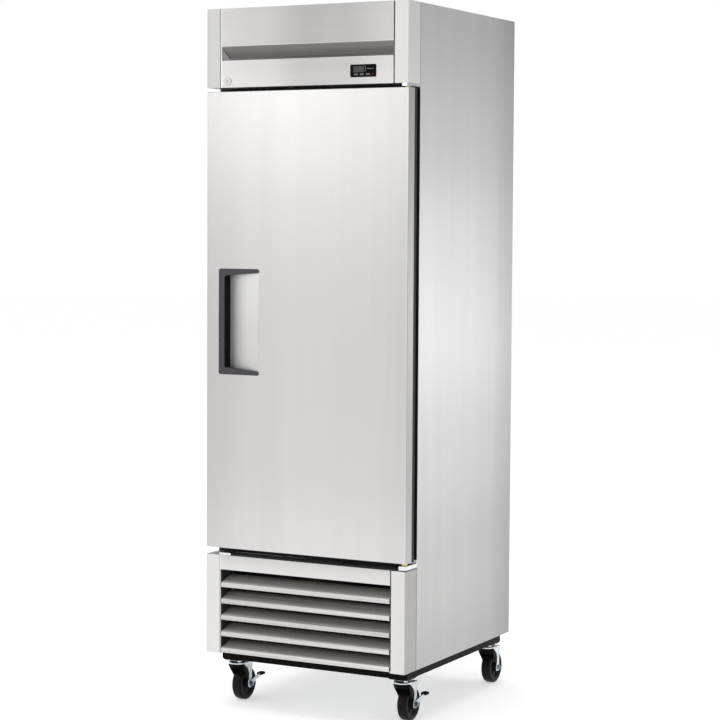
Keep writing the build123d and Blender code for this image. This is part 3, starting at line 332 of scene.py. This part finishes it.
hub_plastic = speckled("hub_plastic", (0.005, 0.005, 0.006), (0.010, 0.010, 0.011), 0.0, (0.36, 0.5), 700.0)
seal_rubber = speckled("seal_vinyl", (0.010, 0.010, 0.011), (0.022, 0.022, 0.024), 0.0, (0.5, 0.65), 600.0)
tread_rubber = speckled("tread_rubber", (0.002, 0.0018, 0.002), (0.006, 0.0055, 0.006), 0.0, (0.34, 0.46),
                        500.0, Specular_IOR_Level=0.16)
foam = speckled("rigid_foam", (0.74, 0.66, 0.40), (0.86, 0.79, 0.56), 0.0, (0.8, 0.95), 400.0, 0.6 * MM)
wire_coat = speckled("coated_wire", (0.50, 0.51, 0.52), (0.60, 0.61, 0.62), 0.0, (0.3, 0.42), 500.0)
diffuser = speckled("light_diffuser", (0.86, 0.87, 0.88), (0.93, 0.94, 0.95), 0.0, (0.3, 0.4), 900.0)
window_glass = speckled("display_window", (0.03, 0.028, 0.027), (0.042, 0.04, 0.039), 0.0, (0.12, 0.2), 300.0)
lamp_red = speckled("lamp_red", (0.45, 0.02, 0.015), (0.62, 0.04, 0.03), 0.0, (0.25, 0.35), 500.0,
                    Emission_Color=(0.8, 0.03, 0.02, 1), Emission_Strength=0.25)
label_grey = speckled("label_grey", (0.12, 0.12, 0.12), (0.18, 0.18, 0.18), 0.0, (0.4, 0.5), 900.0)

CAD_FINISH = {
    "side_panel_left": steel_side, "side_panel_right": steel_side, "top_panel": steel_side,
    "back_panel": galvanised, "rear_grille": galvanised, "cord_gland": black_plastic,
    "breaker_frame": dark_extrusion, "inner_liner": liner, "foam_insulation": foam,
    "header_panel": steel_header, "header_trims": steel_head_trim, "grille_trims": steel_trim,
    "controller_housing": black_plastic, "controller_lens": window_glass,
    "set_button": key_plastic, "down_button": key_plastic, "up_button": key_plastic,
    "lock_barrel": lock_zinc, "lock_plug": lock_zinc, "front_grille": steel_grille,
    "base_frame": black_paint, "base_pan": galvanised,
    "door_outer_pan": steel_door, "door_edge_frame": dark_extrusion, "door_foam": foam,
    "door_inner_panel": liner, "door_gasket": seal_rubber, "handle_pocket": steel_pocket,
    "handle_bezel": bezel_plastic, "door_bushings": brass, "hinge_brackets": hinge_zinc,
    "shelf_pilasters": zinc, "shelf_clips": zinc,
    "shelf_lower": wire_coat, "shelf_middle": wire_coat, "shelf_upper": wire_coat,
    "interior_light": diffuser, "evaporator_coil": fins, "evaporator_housing": liner,
    "evaporator_fan_motor": motor_paint, "evaporator_fan_blade": black_plastic,
    "condenser_coil": shaded_fins, "condenser_shroud": black_paint,
    "condenser_fan_motor": motor_paint, "condenser_fan_blade": fins,
    "compressor": black_paint, "drain_pan": pan_plastic, "refrigerant_lines": copper,
    "caster_plates": zinc, "fasteners": zinc,
    "brake_lever_left": zinc, "brake_lever_right": zinc,
}
CORNERS = [(end, side) for end in ("front", "rear") for side in ("left", "right")]
for end, side in CORNERS:
    CAD_FINISH[f"caster_fork_{end}_{side}"] = zinc
    CAD_FINISH[f"caster_wheel_{end}_{side}"] = tread_rubber
for node, finish in CAD_FINISH.items():
    nodes[node].data.materials.clear()
    nodes[node].data.materials.append(finish)


# ---- mesh helpers ----------------------------------------------------------------------
def to_object(name, shell):
    """Object made from a bmesh."""
    mesh = bpy.data.meshes.new(name)
    shell.to_mesh(mesh)
    shell.free()
    made = bpy.data.objects.new(name, mesh)
    scene.collection.objects.link(made)
    return made


def finish_piece(name, shell, finish, body, slot, *replaced, smooth=35, bevel=0.0):
    """Turn a bmesh into a named piece that rides on a body, with soft shading below an angle."""
    bmesh.ops.remove_doubles(shell, verts=shell.verts, dist=1e-6)
    bmesh.ops.recalc_face_normals(shell, faces=shell.faces)
    piece = to_object(name, shell)
    piece.data.materials.append(finish)
    for face in piece.data.polygons:
        face.use_smooth = True
    piece.data.set_sharp_from_angle(angle=math.radians(smooth))
    if bevel:
        edge = piece.modifiers.new("edge", "BEVEL")
        edge.width, edge.segments, edge.limit_method = bevel, 2, "ANGLE"
    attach(piece, body)
    if replaced:
        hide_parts(*replaced)


def loft(shell, rings, close_ends=True):
    """Skin through closed rings of points that have equal counts."""
    made = [[shell.verts.new(p) for p in ring] for ring in rings]
    count = len(made[0])
    for low, high in zip(made, made[1:]):
        for i in range(count):
            j = (i + 1) % count
            shell.faces.new((low[i], low[j], high[j], high[i]))
    if close_ends:
        shell.faces.new(made[0][::-1])
        shell.faces.new(made[-1])


def prism(shell, outline, at, run):
    """Outline of points pushed along run."""
    at, run = Vector(at), Vector(run)
    ring = [at + Vector(p) for p in outline]
    loft(shell, [ring, [p + run for p in ring]])


def slab(shell, low, high):
    """Block between two corners."""
    (x0, y0, z0), (x1, y1, z1) = low, high
    prism(shell, [(x0, y0, 0), (x1, y0, 0), (x1, y1, 0), (x0, y1, 0)], (0, 0, z0), (0, 0, z1 - z0))


def turned(shell, profile, centre, axis, segments=48):
    """Solid of revolution: profile is (along, radius) pairs, and axis is X, Y or Z."""
    side, up = [k for k in (X, Y, Z) if k != axis]
    rings = []
    for along, radius in profile:
        ring = []
        for i in range(segments):
            angle = math.tau * i / segments
            point = Vector(centre)
            point[axis] += along
            point[side] += radius * math.cos(angle)
            point[up] += radius * math.sin(angle)
            ring.append(point)
        rings.append(ring)
    loft(shell, rings)


def arc(centre, radius, start, end, steps):
    """Points of an arc in a plane, angles in degrees."""
    turn = [math.radians(start + (end - start) * i / steps) for i in range(steps + 1)]
    return [(centre[0] + radius * math.cos(a), centre[1] + radius * math.sin(a)) for a in turn]


def thicken(line, thickness):
    """Closed outline of a sheet that follows a line, offset to the left of its direction."""
    points = [Vector(p) for p in line]
    inner = []
    for i, p in enumerate(points):
        before = points[max(i - 1, 0)]
        after = points[min(i + 1, len(points) - 1)]
        along = (after - before).normalized()
        inner.append(p + Vector((-along.y, along.x)) * thickness)
    return points + inner[::-1]


def wire(shell, path, radius, sides=10, closed=False):
    """Round wire along a path of points."""
    points = [Vector(p) for p in path]
    count = len(points)
    rings = []
    for i, p in enumerate(points):
        before = points[i - 1] if i or closed else p
        after = points[(i + 1) % count] if i < count - 1 or closed else p
        along = (after - before).normalized()
        side = side - along * side.dot(along) if rings else along.orthogonal()
        side.normalize()
        up = along.cross(side)
        rings.append([
            p + (side * math.cos(math.tau * k / sides) + up * math.sin(math.tau * k / sides)) * radius
            for k in range(sides)
        ])
    if closed:
        rings.append(rings[0])
    loft(shell, rings, close_ends=not closed)


# ---- machine compartment front ---------------------------------------------------------
BAND_HEIGHT = 45 * MM
HANGER_SHEET, HANGER_DEPTH = 2 * MM, 60 * MM
LOUVRE_PITCH, LOUVRES, LOUVRE_SHEET, LOUVRE_GAP = 50.5 * MM, 5, 1.2 * MM, 2.2 * MM
RAIL_WIDTH = 46 * MM


def add_grille():
    """Folded top band and side hangers, and louvre blades with a rolled lip."""
    low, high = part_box("front_grille")
    half, front, top = high.x, low.y, high.z
    foot, fold, hem = top - BAND_HEIGHT, 2 * MM, 1.5 * MM
    line = [(front + 12 * MM, foot), (front + hem, foot), *arc((front + hem, foot + hem), hem, 270, 180, 3),
            *arc((front + fold, top - fold), fold, 180, 90, 4), (high.y, top)]
    shell = bmesh.new()
    outline = [(0, y, z) for y, z in thicken(line, -1 * MM)]
    prism(shell, outline, (-half, 0, 0), (2 * half, 0, 0))
    finish_piece("grille_band", shell, steel_band, "cabinet", "stainless")

    shell = bmesh.new()
    for sign in (-1, 1):
        x0, x1 = sorted((sign * half, sign * (half - HANGER_SHEET)))
        slab(shell, (x0, front + 6 * MM, low.z + 3 * MM), (x1, front + HANGER_DEPTH, top - 1.5 * MM))
    # the hangers are stainless; their near-black colour is painted shade
    finish_piece("grille_hangers", shell, shade_painted_steel, "cabinet", "stainless")

    shell, tabs = bmesh.new(), bmesh.new()
    reach = half - LOUVRE_GAP
    for i in range(LOUVRES):
        lip = low.z + i * LOUVRE_PITCH
        nose = arc((front + 5 * MM, lip + 5 * MM), 5 * MM, 270, 180, 6)
        brow = arc((front + 4.5 * MM, lip + 11.5 * MM), 4.5 * MM, 180, 104, 6)
        blade = [(front + 8 * MM, lip + 2 * MM), *nose, *brow, (front + 57 * MM, lip + 34.5 * MM)]
        outline = [(0, y, z) for y, z in thicken(blade, -LOUVRE_SHEET)]
        prism(shell, outline, (-reach, 0, 0), (2 * reach, 0, 0))
        for sign in (-1, 1):
            x0, x1 = sorted((sign * reach, sign * (reach - LOUVRE_SHEET)))
            flap = [(0, front + 10 * MM, lip + 15 * MM), (0, front + 48 * MM, lip + 24 * MM),
                    (0, front + 46 * MM, lip + 14 * MM), (0, front + 14 * MM, lip + 6 * MM)]
            prism(tabs, flap, (x0, 0, 0), (x1 - x0, 0, 0))
    finish_piece("grille_louvres", shell, steel_louvre, "cabinet", "stainless", "front_grille")
    finish_piece("grille_tabs", tabs, steel_louvre, "cabinet", "stainless", bevel=0.4 * MM)


def add_air_baffles():
    """Black sheets from the condenser shroud to the side panels, so that air goes through the coil."""
    low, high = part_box("condenser_shroud")
    side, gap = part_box("side_panel_right")[1].x - 1.5 * MM, 0.3 * MM
    y0, y1, z0, z1 = low.y + 1 * MM, low.y + 2.2 * MM, low.z + 1 * MM, high.z + 0.5 * MM
    shell = bmesh.new()
    slab(shell, (-side, y0, z0), (low.x - gap, y1, z1))
    slab(shell, (high.x + gap, y0, z0), (side, y1, z1))
    finish_piece("air_baffles", shell, black_paint, "cabinet", "black_paint", bevel=0.3 * MM)


def add_rail_ends():
    """Welded plates that close the open ends of the cross channels and the joints at the corners."""
    low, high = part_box("base_frame")
    inset, x_inset, sheet = 0.2 * MM, 0.05 * MM, 1.2 * MM
    shell = bmesh.new()
    for y0, y1 in ((low.y + inset, low.y + RAIL_WIDTH), (high.y - RAIL_WIDTH, high.y - inset)):
        for x0, x1 in ((low.x + x_inset, low.x + sheet), (high.x - sheet, high.x - x_inset)):
            slab(shell, (x0, y0, low.z + inset), (x1, y1, high.z - inset))
    finish_piece("rail_end_plates", shell, black_paint, "cabinet", "black_paint", bevel=0.3 * MM)


# ---- casters ---------------------------------------------------------------------------
TRAIL = 38 * MM  # from the swivel's axis back to the axle
TREAD_HALF, SHOULDER, RIBS = 16 * MM, 8 * MM, 6
LEG_INSIDE = 21 * MM
SHEET, SOFT_EDGE = 2.4, 1.2  # mm, like the tables below
# legs, in mm from the axle: height, front edge, rear edge, half width outside, depth of the pressed step
LEG_LEVELS = [
    (-12, -6, 6, 23.4, 0.2),
    (-9, -10, 10, 23.4, 0.4),
    (0, -11, 12.3, 23.4, 0.6),
    (14, -8, 12.3, 23.6, 1.6),
    (34, -10, 12.3, 24.8, 2.6),
    (50, -20, 12.3, 26.6, 2.8),
    (60, -34, 12.3, 28.0, 2.4),
    (68, -44, 11, 28.6, 1.4),
    (71.4, -46, 8, 27.8, 0.6),
]
# black plates of painted shade in front of the legs, in mm from the axle: height, front edge, rear edge, half
# width outside
SHADE_PLATE_LEVELS = [
    (12, -14, -6, 22.8),
    (20, -20, -5, 23.2),
    (35, -31, -7, 24.4),
    (52, -44, -17, 26.2),
    (64, -50, -36, 27.6),
]


def wheel_centre(end, side):
    """Middle of a caster's wheel, on its axle."""
    low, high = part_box(f"caster_wheel_{end}_{side}")
    return (low + high) / 2


def add_wheel(end, side):
    """Moulded wheel: round-shouldered tread, raised side ring, dished web with ribs, and hub."""
    node, centre = f"caster_wheel_{end}_{side}", wheel_centre(end, side)
    low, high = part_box(node)
    radius = (high.z - low.z) / 2
    shell = bmesh.new()
    right = [
        (17.6 * MM, 5 * MM), (17.6 * MM, 12 * MM), (16.6 * MM, 13 * MM), (10 * MM, 14 * MM),
        (9 * MM, 15 * MM), (9 * MM, 29 * MM), (10 * MM, 31 * MM), (13.6 * MM, 33 * MM),
        (14.4 * MM, 35 * MM), (14.4 * MM, 37 * MM), (TREAD_HALF, 38.5 * MM),
        *arc((TREAD_HALF - SHOULDER, radius - SHOULDER), SHOULDER, 0, 90, 8),
    ]
    left = [(-along, reach) for along, reach in reversed(right)]
    turned(shell, right + left, centre, X, 72)
    finish_piece(f"wheel_{end}_{side}", shell, tread_rubber, f"wheel_{end}_{side}", "black_tread", node)
    ribs = bmesh.new()
    for sign in (-1, 1):
        for i in range(RIBS):
            angle = math.tau * i / RIBS
            spoke = Vector((0, math.cos(angle), math.sin(angle)))
            aside = Vector((0, -math.sin(angle), math.cos(angle))) * 1.4 * MM
            inner, outer = spoke * 12.5 * MM, spoke * 31 * MM
            outline = [inner + aside, outer + aside, outer - aside, inner - aside]
            prism(ribs, outline, centre + Vector((sign * 8.5 * MM, 0, 0)), (sign * 3.5 * MM, 0, 0))
    finish_piece(f"wheel_ribs_{end}_{side}", ribs, hub_plastic, f"wheel_{end}_{side}", "black_tread",
                 bevel=0.4 * MM)


def add_fork(end, side):
    """Stamped fork: crown with a raised ball race and stepped trailing legs; black plates in front of the
    legs and under the crown are painted shade in the fork's hollow.
    """
    node, body = f"caster_fork_{end}_{side}", f"fork_{end}_{side}"
    axle, crown = wheel_centre(end, side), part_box(node)[1].z
    x, y = axle.x, axle.y - TRAIL
    shell = bmesh.new()
    cup = [(0, 8 * MM), (0, 22 * MM), (-1.2 * MM, 27.2 * MM), (-3 * MM, 28.8 * MM), (-6.4 * MM, 28.8 * MM),
           (-7.2 * MM, 27 * MM), (-7.2 * MM, 8 * MM)]
    turned(shell, cup, (x, y, crown), Z, 56)
    finish_piece(f"fork_race_{end}_{side}", shell, zinc, body, "zinc_steel")

    shell = bmesh.new()
    top, front, rear, half = crown - 4.5 * MM, y - 8 * MM, axle.y + 8 * MM, 26 * MM
    plate = [(-half, front, 0), (half, front, 0), (half, rear, 0), (-half, rear, 0)]
    prism(shell, plate, (x, 0, top - 3.4 * MM), (0, 0, 3 * MM))
    for sign in (-1, 1):
        rings = []
        for height, fore, aft, out, step in LEG_LEVELS:
            y0, long = axle.y + fore * MM, (aft - fore) * MM
            web = out - step
            plan = [(0, out - SOFT_EDGE), (0.06, out), (0.42, out), (0.52, web), (0.94, web),
                    (1, web - SOFT_EDGE), (1, web - SHEET), (0.5, web - SHEET), (0, out - SHEET - 0.4)]
            rings.append([(x + sign * across * MM, y0 + share * long, axle.z + height * MM)
                          for share, across in plan])
        loft(shell, rings)
    finish_piece(f"fork_{end}_{side}", shell, zinc, body, "zinc_steel", node, bevel=0.5 * MM)

    shade_plates = bmesh.new()
    for sign in (-1, 1):
        rings = []
        for height, fore, aft, out in SHADE_PLATE_LEVELS:
            plan = [(fore, out), (aft, out), (aft, out - SHEET), (fore, out - SHEET)]
            rings.append([(x + sign * across * MM, axle.y + along * MM, axle.z + height * MM)
                          for along, across in plan])
        loft(shade_plates, rings)
    bow = thicken(arc((0, 8 * MM), half, 180, 360, 20), 2 * MM)
    prism(shade_plates, [(px, py, 0) for px, py in bow], (x, y - 8 * MM, top - 15 * MM), (0, 0, 12 * MM))
    # painted shade: black plates where the fork's hollow lies in shadow
    finish_piece(f"fork_shade_plates_{end}_{side}", shade_plates, black_paint, body, "zinc_steel", bevel=0.5 * MM)


def add_axle_bolt(end, side):
    """Axle bolt, head, washer and nut; at the rear a cone fills the room that a brake takes in front."""
    axle = wheel_centre(end, side)
    low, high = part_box(f"caster_fork_{end}_{side}")
    left, right = low.x - axle.x, high.x - axle.x
    head, nut = -LEG_INSIDE - 1.4 * MM, right - 7 * MM
    washer_start = LEG_INSIDE + 1.5 * MM if end == "rear" else nut - 0.2 * MM
    washer_end, bore = nut + 0.9 * MM, 4.3 * MM
    shapes = [
        (24, [(left, 0.5 * MM), (left, 5.4 * MM), (left + 0.8 * MM, 7.4 * MM), (head, 7.8 * MM),
              (head, 4.7 * MM), (-19 * MM, 4.7 * MM)]),
        (24, [(19 * MM, 4.2 * MM), (right - 0.8 * MM, 4.2 * MM), (right, 3.4 * MM), (right, 0.5 * MM)]),
        (32, [(washer_start, bore), (nut - 0.2 * MM, 9 * MM), (washer_end, 9 * MM), (washer_end, bore)]),
        (6, [(washer_end, bore), (washer_end, 7.6 * MM), (right - 2.2 * MM, 7.6 * MM),
             (right - 1.4 * MM, 6.4 * MM), (right - 1.4 * MM, bore)]),
    ]
    bolt = bmesh.new()
    for segments, profile in shapes:
        turned(bolt, profile, axle, X, segments)
    finish_piece(f"axle_bolt_{end}_{side}", bolt, nut_zinc, f"fork_{end}_{side}", "zinc_steel")


def add_brake(side):
    """Bent steel arm on the axle with a ribbed black pedal."""
    node, body = f"brake_lever_{side}", f"brake_{side}"
    axle, high = wheel_centre("front", side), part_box(node)[1]
    shell = bmesh.new()
    outline = [*arc((0, 0), 11 * MM, 100, 318, 14), (30 * MM, 6 * MM), (58 * MM, 15.5 * MM),
               (62 * MM, 23.5 * MM), (28 * MM, 18 * MM)]
    prism(shell, [(0, y, z) for y, z in outline], axle + Vector((23.4 * MM, 0, 0)), (2.6 * MM, 0, 0))
    finish_piece(f"brake_arm_{side}", shell, zinc, body, "zinc_steel", node, bevel=0.6 * MM)
    pedal = bmesh.new()
    x0, x1 = axle.x + 12.4 * MM, high.x - 0.2 * MM
    y0, y1 = axle.y + 56.4 * MM, high.y - 0.2 * MM
    z0, z1 = high.z - 8.4 * MM, high.z - 1.4 * MM
    slab(pedal, (x0, y0, z0), (x1, y1, z1))
    treads, half = 4, 1.2 * MM
    for i in range(treads):
        y = y0 + (y1 - y0) * (i + 0.5) / treads
        slab(pedal, (x0 + 1.5 * MM, y - half, z1 - 0.2 * MM), (x1 - 1.5 * MM, y + half, z1 + 1.2 * MM))
    finish_piece(f"brake_pedal_{side}", pedal, black_plastic, body, "zinc_steel", bevel=0.9 * MM)


def add_caster_plates():
    """Top plates with rounded corners, upper races with their pressed rings, kingpins and their nuts; the
    black plates and the darker zinc of the rest are painted shade.
    """
    shell, plates = bmesh.new(), bmesh.new()
    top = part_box("caster_plates")[1].z
    half_x, half_y, round_off = 30.8 * MM, 35.8 * MM, 6 * MM
    for end, side in CORNERS:
        axle = wheel_centre(end, side)
        x, y = axle.x, axle.y - TRAIL
        outline = []
        for sx, sy, start in ((1, 1, 0), (-1, 1, 90), (-1, -1, 180), (1, -1, 270)):
            corner = (x + sx * (half_x - round_off), y + sy * (half_y - round_off))
            outline += arc(corner, round_off, start, start + 90, 5)
        prism(plates, [(px, py, 0) for px, py in outline], (0, 0, top - 3 * MM), (0, 0, 2.9 * MM))
        race = [(-2.8 * MM, 6 * MM), (-2.8 * MM, 26 * MM), (-4.4 * MM, 26.8 * MM), (-7.4 * MM, 26.8 * MM),
                (-8.6 * MM, 25 * MM), (-9.6 * MM, 24.4 * MM), (-9.6 * MM, 6 * MM)]
        turned(shell, race, (x, y, top), Z, 56)
        kingpin = [(-9 * MM, 5.9 * MM), (-22.5 * MM, 5.9 * MM), (-22.5 * MM, 2 * MM)]
        turned(shell, kingpin, (x, y, top), Z, 20)
        kingpin_nut = [(-20.6 * MM, 5 * MM), (-20.6 * MM, 8.8 * MM), (-23.4 * MM, 8.8 * MM),
                       (-24.2 * MM, 7.6 * MM), (-24.2 * MM, 2 * MM)]
        turned(shell, kingpin_nut, (x, y, top), Z, 6)
    # painted shade: races, kingpins and nuts in darker zinc, top plates in black
    finish_piece("caster_races", shell, shaded_race_zinc, "cabinet", "zinc_steel")
    finish_piece("caster_top_plates", plates, black_paint, "cabinet", "zinc_steel", "caster_plates",
                 bevel=0.3 * MM)


# ---- header details --------------------------------------------------------------------
RECESS_LOW, RECESS_FOLD, RECESS_HIGH, RECESS_DEPTH = 1977 * MM, 1986 * MM, 2020 * MM, 12 * MM


def add_header_recess():
    """Folded sheet over the finger recess's faces in painted shade (sloping lid, upright back), edge hems as
    painted highlights, and a gusset at the left in painted shade.
    """
    low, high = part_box("header_panel")
    front, half, back = low.y, high.x - 0.2 * MM, low.y + RECESS_DEPTH
    face = [(front + 0.3 * MM, RECESS_HIGH - 0.4 * MM), (back - 0.6 * MM, RECESS_FOLD + 0.6 * MM),
            (back - 1.2 * MM, RECESS_LOW + 0.8 * MM)]
    shell = bmesh.new()
    outline = [(0, y, z) for y, z in thicken(face, -0.4 * MM)]
    prism(shell, outline, (-half, 0, 0), (2 * half, 0, 0))
    # the sheet's darker steel is painted shade on the recess's faces
    finish_piece("header_recess", shell, shaded_recess_steel, "cabinet", "stainless")
    shell = bmesh.new()
    for y, z in ((front + 1.1 * MM, RECESS_LOW - 0.9 * MM), (front + 0.8 * MM, RECESS_HIGH + 0.5 * MM)):
        wire(shell, [(-half, y, z), (half, y, z)], 0.9 * MM)
    finish_piece("header_hems", shell, highlight_hem_steel, "cabinet", "stainless", smooth=80)
    shell = bmesh.new()
    corners = [
        (-half, front + 0.6 * MM, RECESS_LOW + 0.4 * MM),
        (-half, front + 1 * MM, RECESS_HIGH - 6 * MM),
        (-half, back - 1.6 * MM, RECESS_LOW + 0.6 * MM),
        (-half + 27 * MM, back - 1.8 * MM, RECESS_LOW + 0.6 * MM),
    ]
    points = [shell.verts.new(corner) for corner in corners]
    for a, b, c in ((0, 1, 2), (0, 1, 3), (1, 2, 3), (0, 2, 3)):
        shell.faces.new((points[a], points[b], points[c]))
    finish_piece("header_gussets", shell, shaded_gusset_steel, "cabinet", "stainless", smooth=10)


def add_seam_flanges():
    """Folded flanges of the left corner trims, seen at the bottom of the seam beside each panel, in a
    brighter steel as a painted highlight line.
    """
    shell = bmesh.new()
    for trim, panel in (("header_trims", "header_panel"), ("grille_trims", "front_grille")):
        low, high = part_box(trim)
        panel_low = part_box(panel)[0]
        slab(shell, (panel_low.x - 2.8 * MM, panel_low.y + 0.8 * MM, low.z + 0.2 * MM),
             (panel_low.x - 0.5 * MM, panel_low.y + 14 * MM, high.z - 0.2 * MM))
    finish_piece("seam_flanges", shell, highlight_hem_steel, "cabinet", "stainless")


def add_fan_guard():
    """Wire guard over the evaporator fan's opening: rings on four spokes."""
    low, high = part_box("evaporator_fan_blade")
    hub, reach = (low + high) / 2, (high.z - low.z) / 2
    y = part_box("evaporator_housing")[0].y - 2.2 * MM
    wire_radius, step = 1.3 * MM, 7.5
    shell = bmesh.new()
    for share in (0.22, 0.44, 0.66, 0.88, 1.06):
        ring = arc((hub.x, hub.z), reach * share, 0, 360 - step, 47)
        wire(shell, [(x, y, z) for x, z in ring], wire_radius, 8, closed=True)
    centre = Vector((hub.x, y + 1.6 * MM, hub.z))
    for turn in (0, 45, 90, 135):
        spoke = Vector((math.cos(math.radians(turn)), 0, math.sin(math.radians(turn)))) * reach * 1.08
        wire(shell, [centre - spoke, centre + spoke], wire_radius, 8)
    finish_piece("evaporator_fan_guard", shell, zinc, "cabinet", "zinc_steel", smooth=60)


def add_handle_shade_sheet():
    """Black sheet on the deep wall of the finger pull, as painted shade on that wall."""
    low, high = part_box("handle_bezel")
    wall, rim = low.x + 20 * MM, 14 * MM
    shell = bmesh.new()
    slab(shell, (wall - 0.1 * MM, low.y + 2.2 * MM, low.z + rim),
         (wall + 0.5 * MM, high.y - 0.3 * MM, high.z - rim))
    finish_piece("handle_shade_sheet", shell, black_plastic, "door", "black_plastic", bevel=0.2 * MM)


def add_controller_face():
    """Divider bar, blank status bars and lamp, all standing just proud of the control's face."""
    low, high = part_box("controller_housing")
    face, proud, sunk = low.y, 0.45 * MM, 0.4 * MM
    span, rise = high.x - low.x, high.z - low.z
    shell = bmesh.new()
    for x0, x1, z0, z1 in ((0.585, 0.605, 0.42, 0.88), (0.66, 0.72, 0.62, 0.70), (0.74, 0.90, 0.62, 0.68)):
        slab(shell, (low.x + x0 * span, face - proud, low.z + z0 * rise),
             (low.x + x1 * span, face + sunk, low.z + z1 * rise))
    finish_piece("controller_bars", shell, label_grey, "cabinet", "black_plastic", bevel=0.1 * MM)
    shell = bmesh.new()
    turned(shell, [(-proud, 0.8 * MM), (-0.3 * MM, 1.3 * MM), (0.8 * MM, 1.3 * MM)],
           (low.x + 0.88 * span, face, low.z + 0.23 * rise), Y, 20)
    finish_piece("controller_lamp", shell, lamp_red, "cabinet", "black_plastic")


add_grille()
for end, side in CORNERS:
    add_wheel(end, side)
    add_fork(end, side)
    add_axle_bolt(end, side)
for side in ("left", "right"):
    add_brake(side)
add_caster_plates()
add_air_baffles()
add_rail_ends()
add_seam_flanges()
add_fan_guard()
add_handle_shade_sheet()
add_header_recess()
add_controller_face()

add_camera()
add_world()
add_stage()
add_softbox("key_light", at=(-2.0, -3.3, 2.3), aim=(0, -0.4, 1.7), size=(2.2, 0.8), power=11.5)
add_softbox("side_light", at=(2.35, 2.6, 1.2), aim=(0.34, 0, 1.27), size=(1.0, 0.9), power=4.9)
add_softbox("top_light", at=(0, 0, 6.5), aim=(0, 0, 0), size=(5, 5), power=110)
scene.view_settings.view_transform = "Standard"
